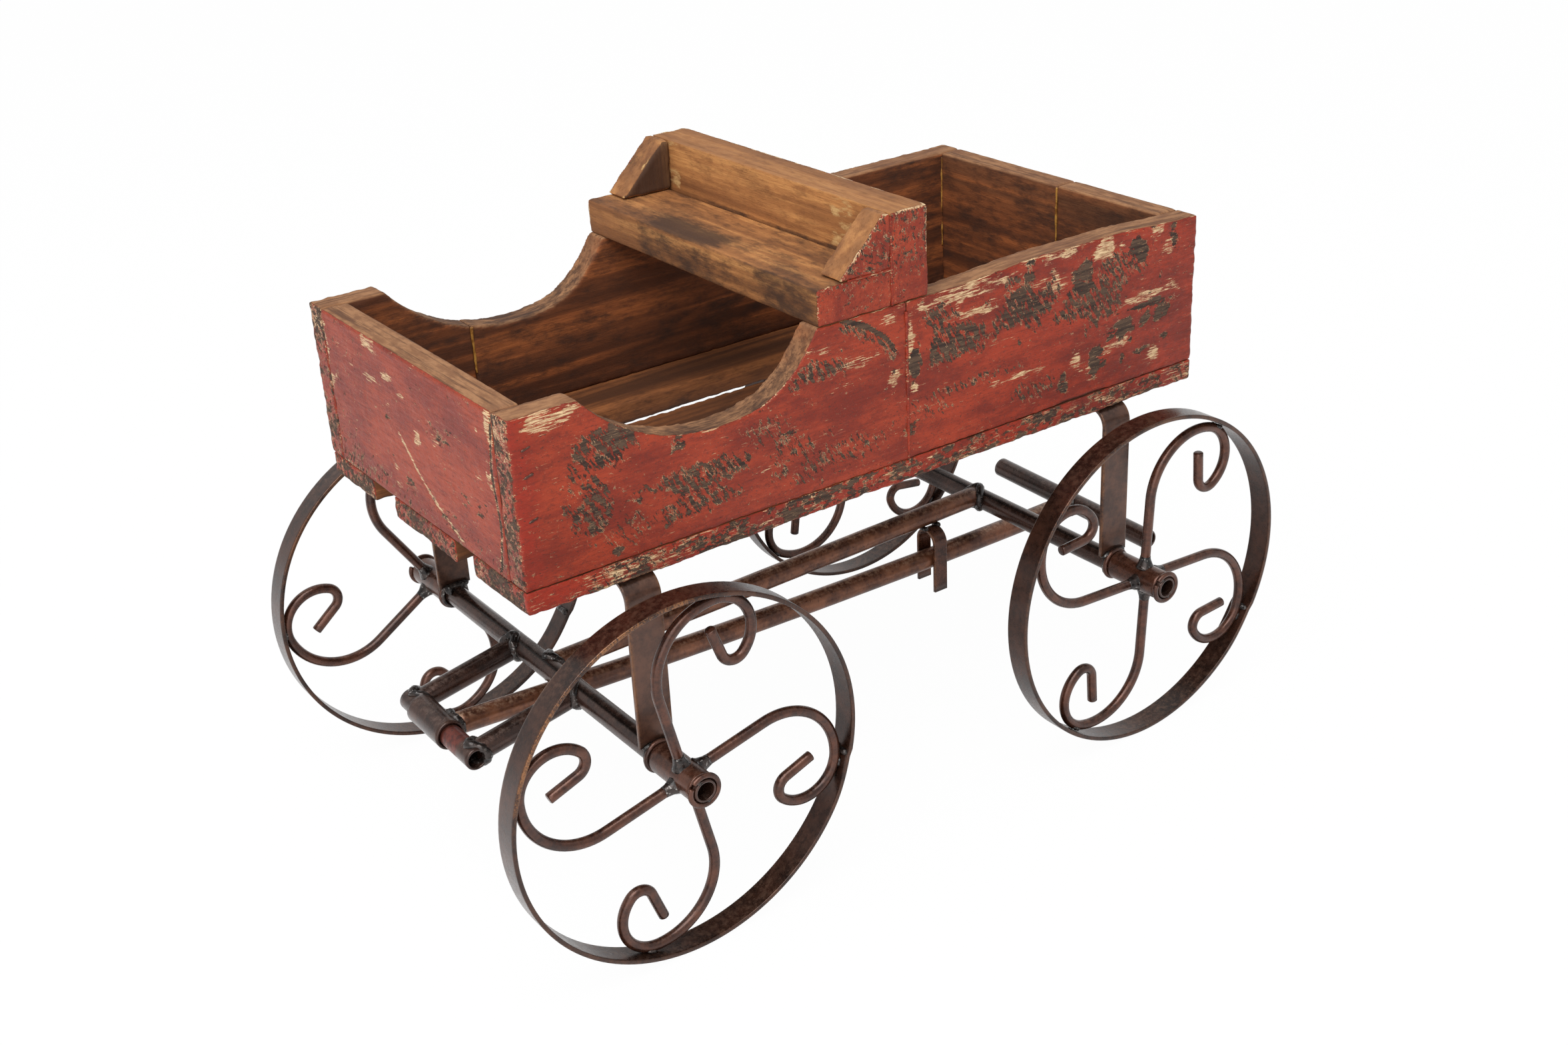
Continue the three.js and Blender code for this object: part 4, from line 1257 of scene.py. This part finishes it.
def axle_rings():
    """A collar inside each hub, welded all round, and a retaining ring outside it, tacked twice."""
    whole_turn = -np.linspace(0, 2 * math.pi, 40, endpoint=False)
    for corner, side in product(("front", "rear"), (1, -1)):
        name = f"{corner}_{'left' if side > 0 else 'right'}"
        outwards = np.array([0, side, 0])
        inside = axle_ring(f"collar_{name}", 200) - outwards * 2.4 * mm
        bead(frame_welds, around(inside, 9.6 * mm, whole_turn), 1.5 * mm, 200, closed=True)
        outside = axle_ring(f"retaining_ring_{name}", 35) + outwards * 0.4 * mm
        for tack in np.radians((60, 255)):
            start = around(outside, 6.0 * mm, tack)
            end = around(outside, 10.4 * mm, tack)
            bead(frame_welds, evenly(start, end, 10), 1.4 * mm, 210)


axle("axle_front", axle_x, 1)
axle("axle_rear", -axle_x, 2)
strap("strap_front", axle_x)
strap("strap_rear", -axle_x)
screw("strap_screw_front")
screw("strap_screw_rear")
reach()
yoke()
handle()
clip()
for wheel_name in wheel_phase:
    wheel(wheel_name)
axle_rings()
finish_piece(frame_welds.build("frame_welds"), "frame", weld, "dark_iron")


# ---- Glue, paint and nails ----------------------------------------------------------------

board_inner = 19.4 * mm  # from the outside of the box to just inside its boards
right_joint_x = 171.5 * mm
rear_joint_y = 15 * mm
ear_foot = 24 * mm  # how far back from the plank's front edge an ear's painted joint ends
brad_x, brad_heights = 268, (358, 341, 313)  # the brads that hold the front board, in millimetres


def glue_runs():
    """Glue squeezed out of the butt joints in uneven lines and left to dry."""
    shape = Shape()
    inner_y = board_inner - box_high.y
    rear_x = board_inner - box_high.x
    joints = [
        (right_joint_x, inner_y, 337 * mm, 303 * mm, 1.1),
        (rear_x, rear_joint_y, 376 * mm, 332 * mm, 1.1),
        (rear_x, inner_y, 374 * mm, 300 * mm, 0.9),
    ]
    for joint, (x, y, top, bottom, width) in enumerate(joints):
        path = evenly((x, y, top), (x, y, bottom), 70)
        sway = 1.0 * mm * rough_noise(path, 9 * mm, 7 + joint, 2)
        path = path + sway[:, None] * np.array([0.8, 0.4, 0.0])
        fat = 0.75 + 0.45 * lattice_noise(path, 7 * mm, 31 + joint)
        radii = width * mm * np.clip(fat, 0.25, 1.3)
        shape.loft(circle_rings(path, radii, 10))
    finish_piece(shape.build("glue_runs"), "frame", glue, "red_painted_wood")


def paint_run(shape, start, end, radius, seed):
    """A run of thick paint from one point to another, level with the boards or just proud."""
    path = evenly(start, end, 2 + int(np.linalg.norm(np.subtract(end, start)) / mm))
    fat = radius * (1 + 0.25 * rough_noise(path, 8 * mm, seed, 2))
    shape.loft(circle_rings(path, fat, 12))


def paint_runs():
    """Old paint that bridges the butt joint in each side and the joints in the seat's ends."""
    def broken(points):
        return np.clip(0.25 + 0.5 * rough_noise(points, 9 * mm, 67, 2), 0, 1)

    def everywhere(points):
        return np.ones(len(points))

    shape = Shape()
    joint_x = seat_high.x
    for side, name, top in ((1, "left", 0.371), (-1, "right", 0.335)):
        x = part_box(f"{name}_side_front")[0].x
        proud, flush = side * (box_high.y - 0.4 * mm), side * (box_high.y - 0.85 * mm)
        paint_run(shape, (x, proud, floor_top), (x, proud, top), 1.15 * mm, 64)
        top_z = seat_high.z - 2 * mm
        paint_run(shape, (joint_x, flush, plank_low.z), (joint_x, flush, top_z), 0.95 * mm, 65)
        front = plank_high.x - ear_foot
        paint_run(shape, (joint_x, flush, plank_high.z), (front, flush, plank_high.z), 0.95 * mm, 66)
    piece = shape.build("paint_runs", paint=everywhere, chip=broken, primer=broken)
    set_vectors(piece.data, "grain", read_points(piece.data)[:, (0, 2, 1)])
    finish_piece(piece, "frame", red_wood, "red_painted_wood")


def nails():
    """Flattened heads of the brads that hold the front board, punched in along the grain."""
    shape = Shape()
    half = np.array([3.4 * mm, 0, -0.9 * mm])
    for height, side in product(brad_heights, (1, -1)):
        centre = np.array([brad_x * mm, side * (box_high.y - 0.1 * mm), height * mm])
        bead(shape, evenly(centre - half, centre + half, 14), 0.75 * mm, height, sides=8)
    finish_piece(shape.build("brad_heads"), "frame", dark_iron, "dark_iron")


glue_runs()
paint_runs()
nails()


# ---- Studio -------------------------------------------------------------------------------


def studio_floor():
    """A plain white floor that bounces light but shows no more than a trace of shadow."""
    s = Shader("studio_floor")
    diffuse = s.node("ShaderNodeBsdfDiffuse", {"Color": (0.9, 0.9, 0.9, 1)})
    seen = s.node("ShaderNodeEmission", {"Color": (1, 1, 1, 1), "Strength": 1.0})
    straight = s.node("ShaderNodeLightPath").outputs["Is Camera Ray"]
    both = s.node("ShaderNodeMixShader", {0: s.times(straight, 0.97)})
    s.tree.links.new(diffuse.outputs[0], both.inputs[1])
    s.tree.links.new(seen.outputs[0], both.inputs[2])
    output = s.node("ShaderNodeOutputMaterial")
    s.tree.links.new(both.outputs[0], output.inputs[0])
    size = 12.0
    mesh = bpy.data.meshes.new("studio_floor")
    corners = [(-size, -size, 0), (size, -size, 0), (size, size, 0), (-size, size, 0)]
    mesh.from_pydata(corners, [], [(0, 1, 2, 3)])
    mesh.materials.append(s.material)
    floor = bpy.data.objects.new("studio_floor", mesh)
    floor.location.z = -0.5 * mm
    scene.collection.objects.link(floor)


def area_light(name, place, target, size, power):
    data = bpy.data.lights.new(name, "AREA")
    data.size = size
    data.energy = power
    light = bpy.data.objects.new(name, data)
    light.location = place
    light.rotation_euler = (Vector(target) - Vector(place)).to_track_quat("-Z", "Y").to_euler()
    scene.collection.objects.link(light)


def studio():
    studio_floor()
    world = bpy.data.worlds.new("studio")
    world.use_nodes = True
    tree = world.node_tree
    background = tree.nodes["Background"]
    background.inputs[0].default_value = (1, 1, 1, 1)
    seen = tree.nodes.new("ShaderNodeLightPath").outputs["Is Camera Ray"]
    strength = tree.nodes.new("ShaderNodeMapRange")  # full white behind the wagon, less as light
    strength.inputs["To Min"].default_value = 0.75
    strength.inputs["To Max"].default_value = 1.0
    tree.links.new(seen, strength.inputs["Value"])
    tree.links.new(strength.outputs[0], background.inputs[1])
    scene.world = world
    target = (0, 0, 0.2)
    area_light("key", (1.2, 0.9, 2.6), target, 2.2, 62)
    area_light("fill", (2.2, 2.4, 1.0), target, 2.4, 26)
    scene.view_settings.view_transform = "Standard"
    scene.view_settings.look = "None"


def camera():
    """A camera at the left front corner, standing and looking down at the wagon."""
    data = bpy.data.cameras.new("camera")
    data.sensor_width = 36
    data.lens = 42.82
    data.shift_x = 0.0061
    data.shift_y = -0.0050
    data.clip_start = 0.05
    data.clip_end = 50
    place = Vector((0.70155, 1.01740, 0.77764))
    target = Vector((0.06577, 0.08898, 0.23328))  # under the floor, ahead and left of its middle
    lean = Matrix.Rotation(math.radians(-3.1), 4, "Z")  # it is not held quite level
    turn = (target - place).to_track_quat("-Z", "Y").to_matrix().to_4x4()
    view = bpy.data.objects.new("camera", data)
    view.matrix_world = Matrix.Translation(place) @ turn @ lean
    scene.collection.objects.link(view)
    scene.camera = view


studio()
camera()
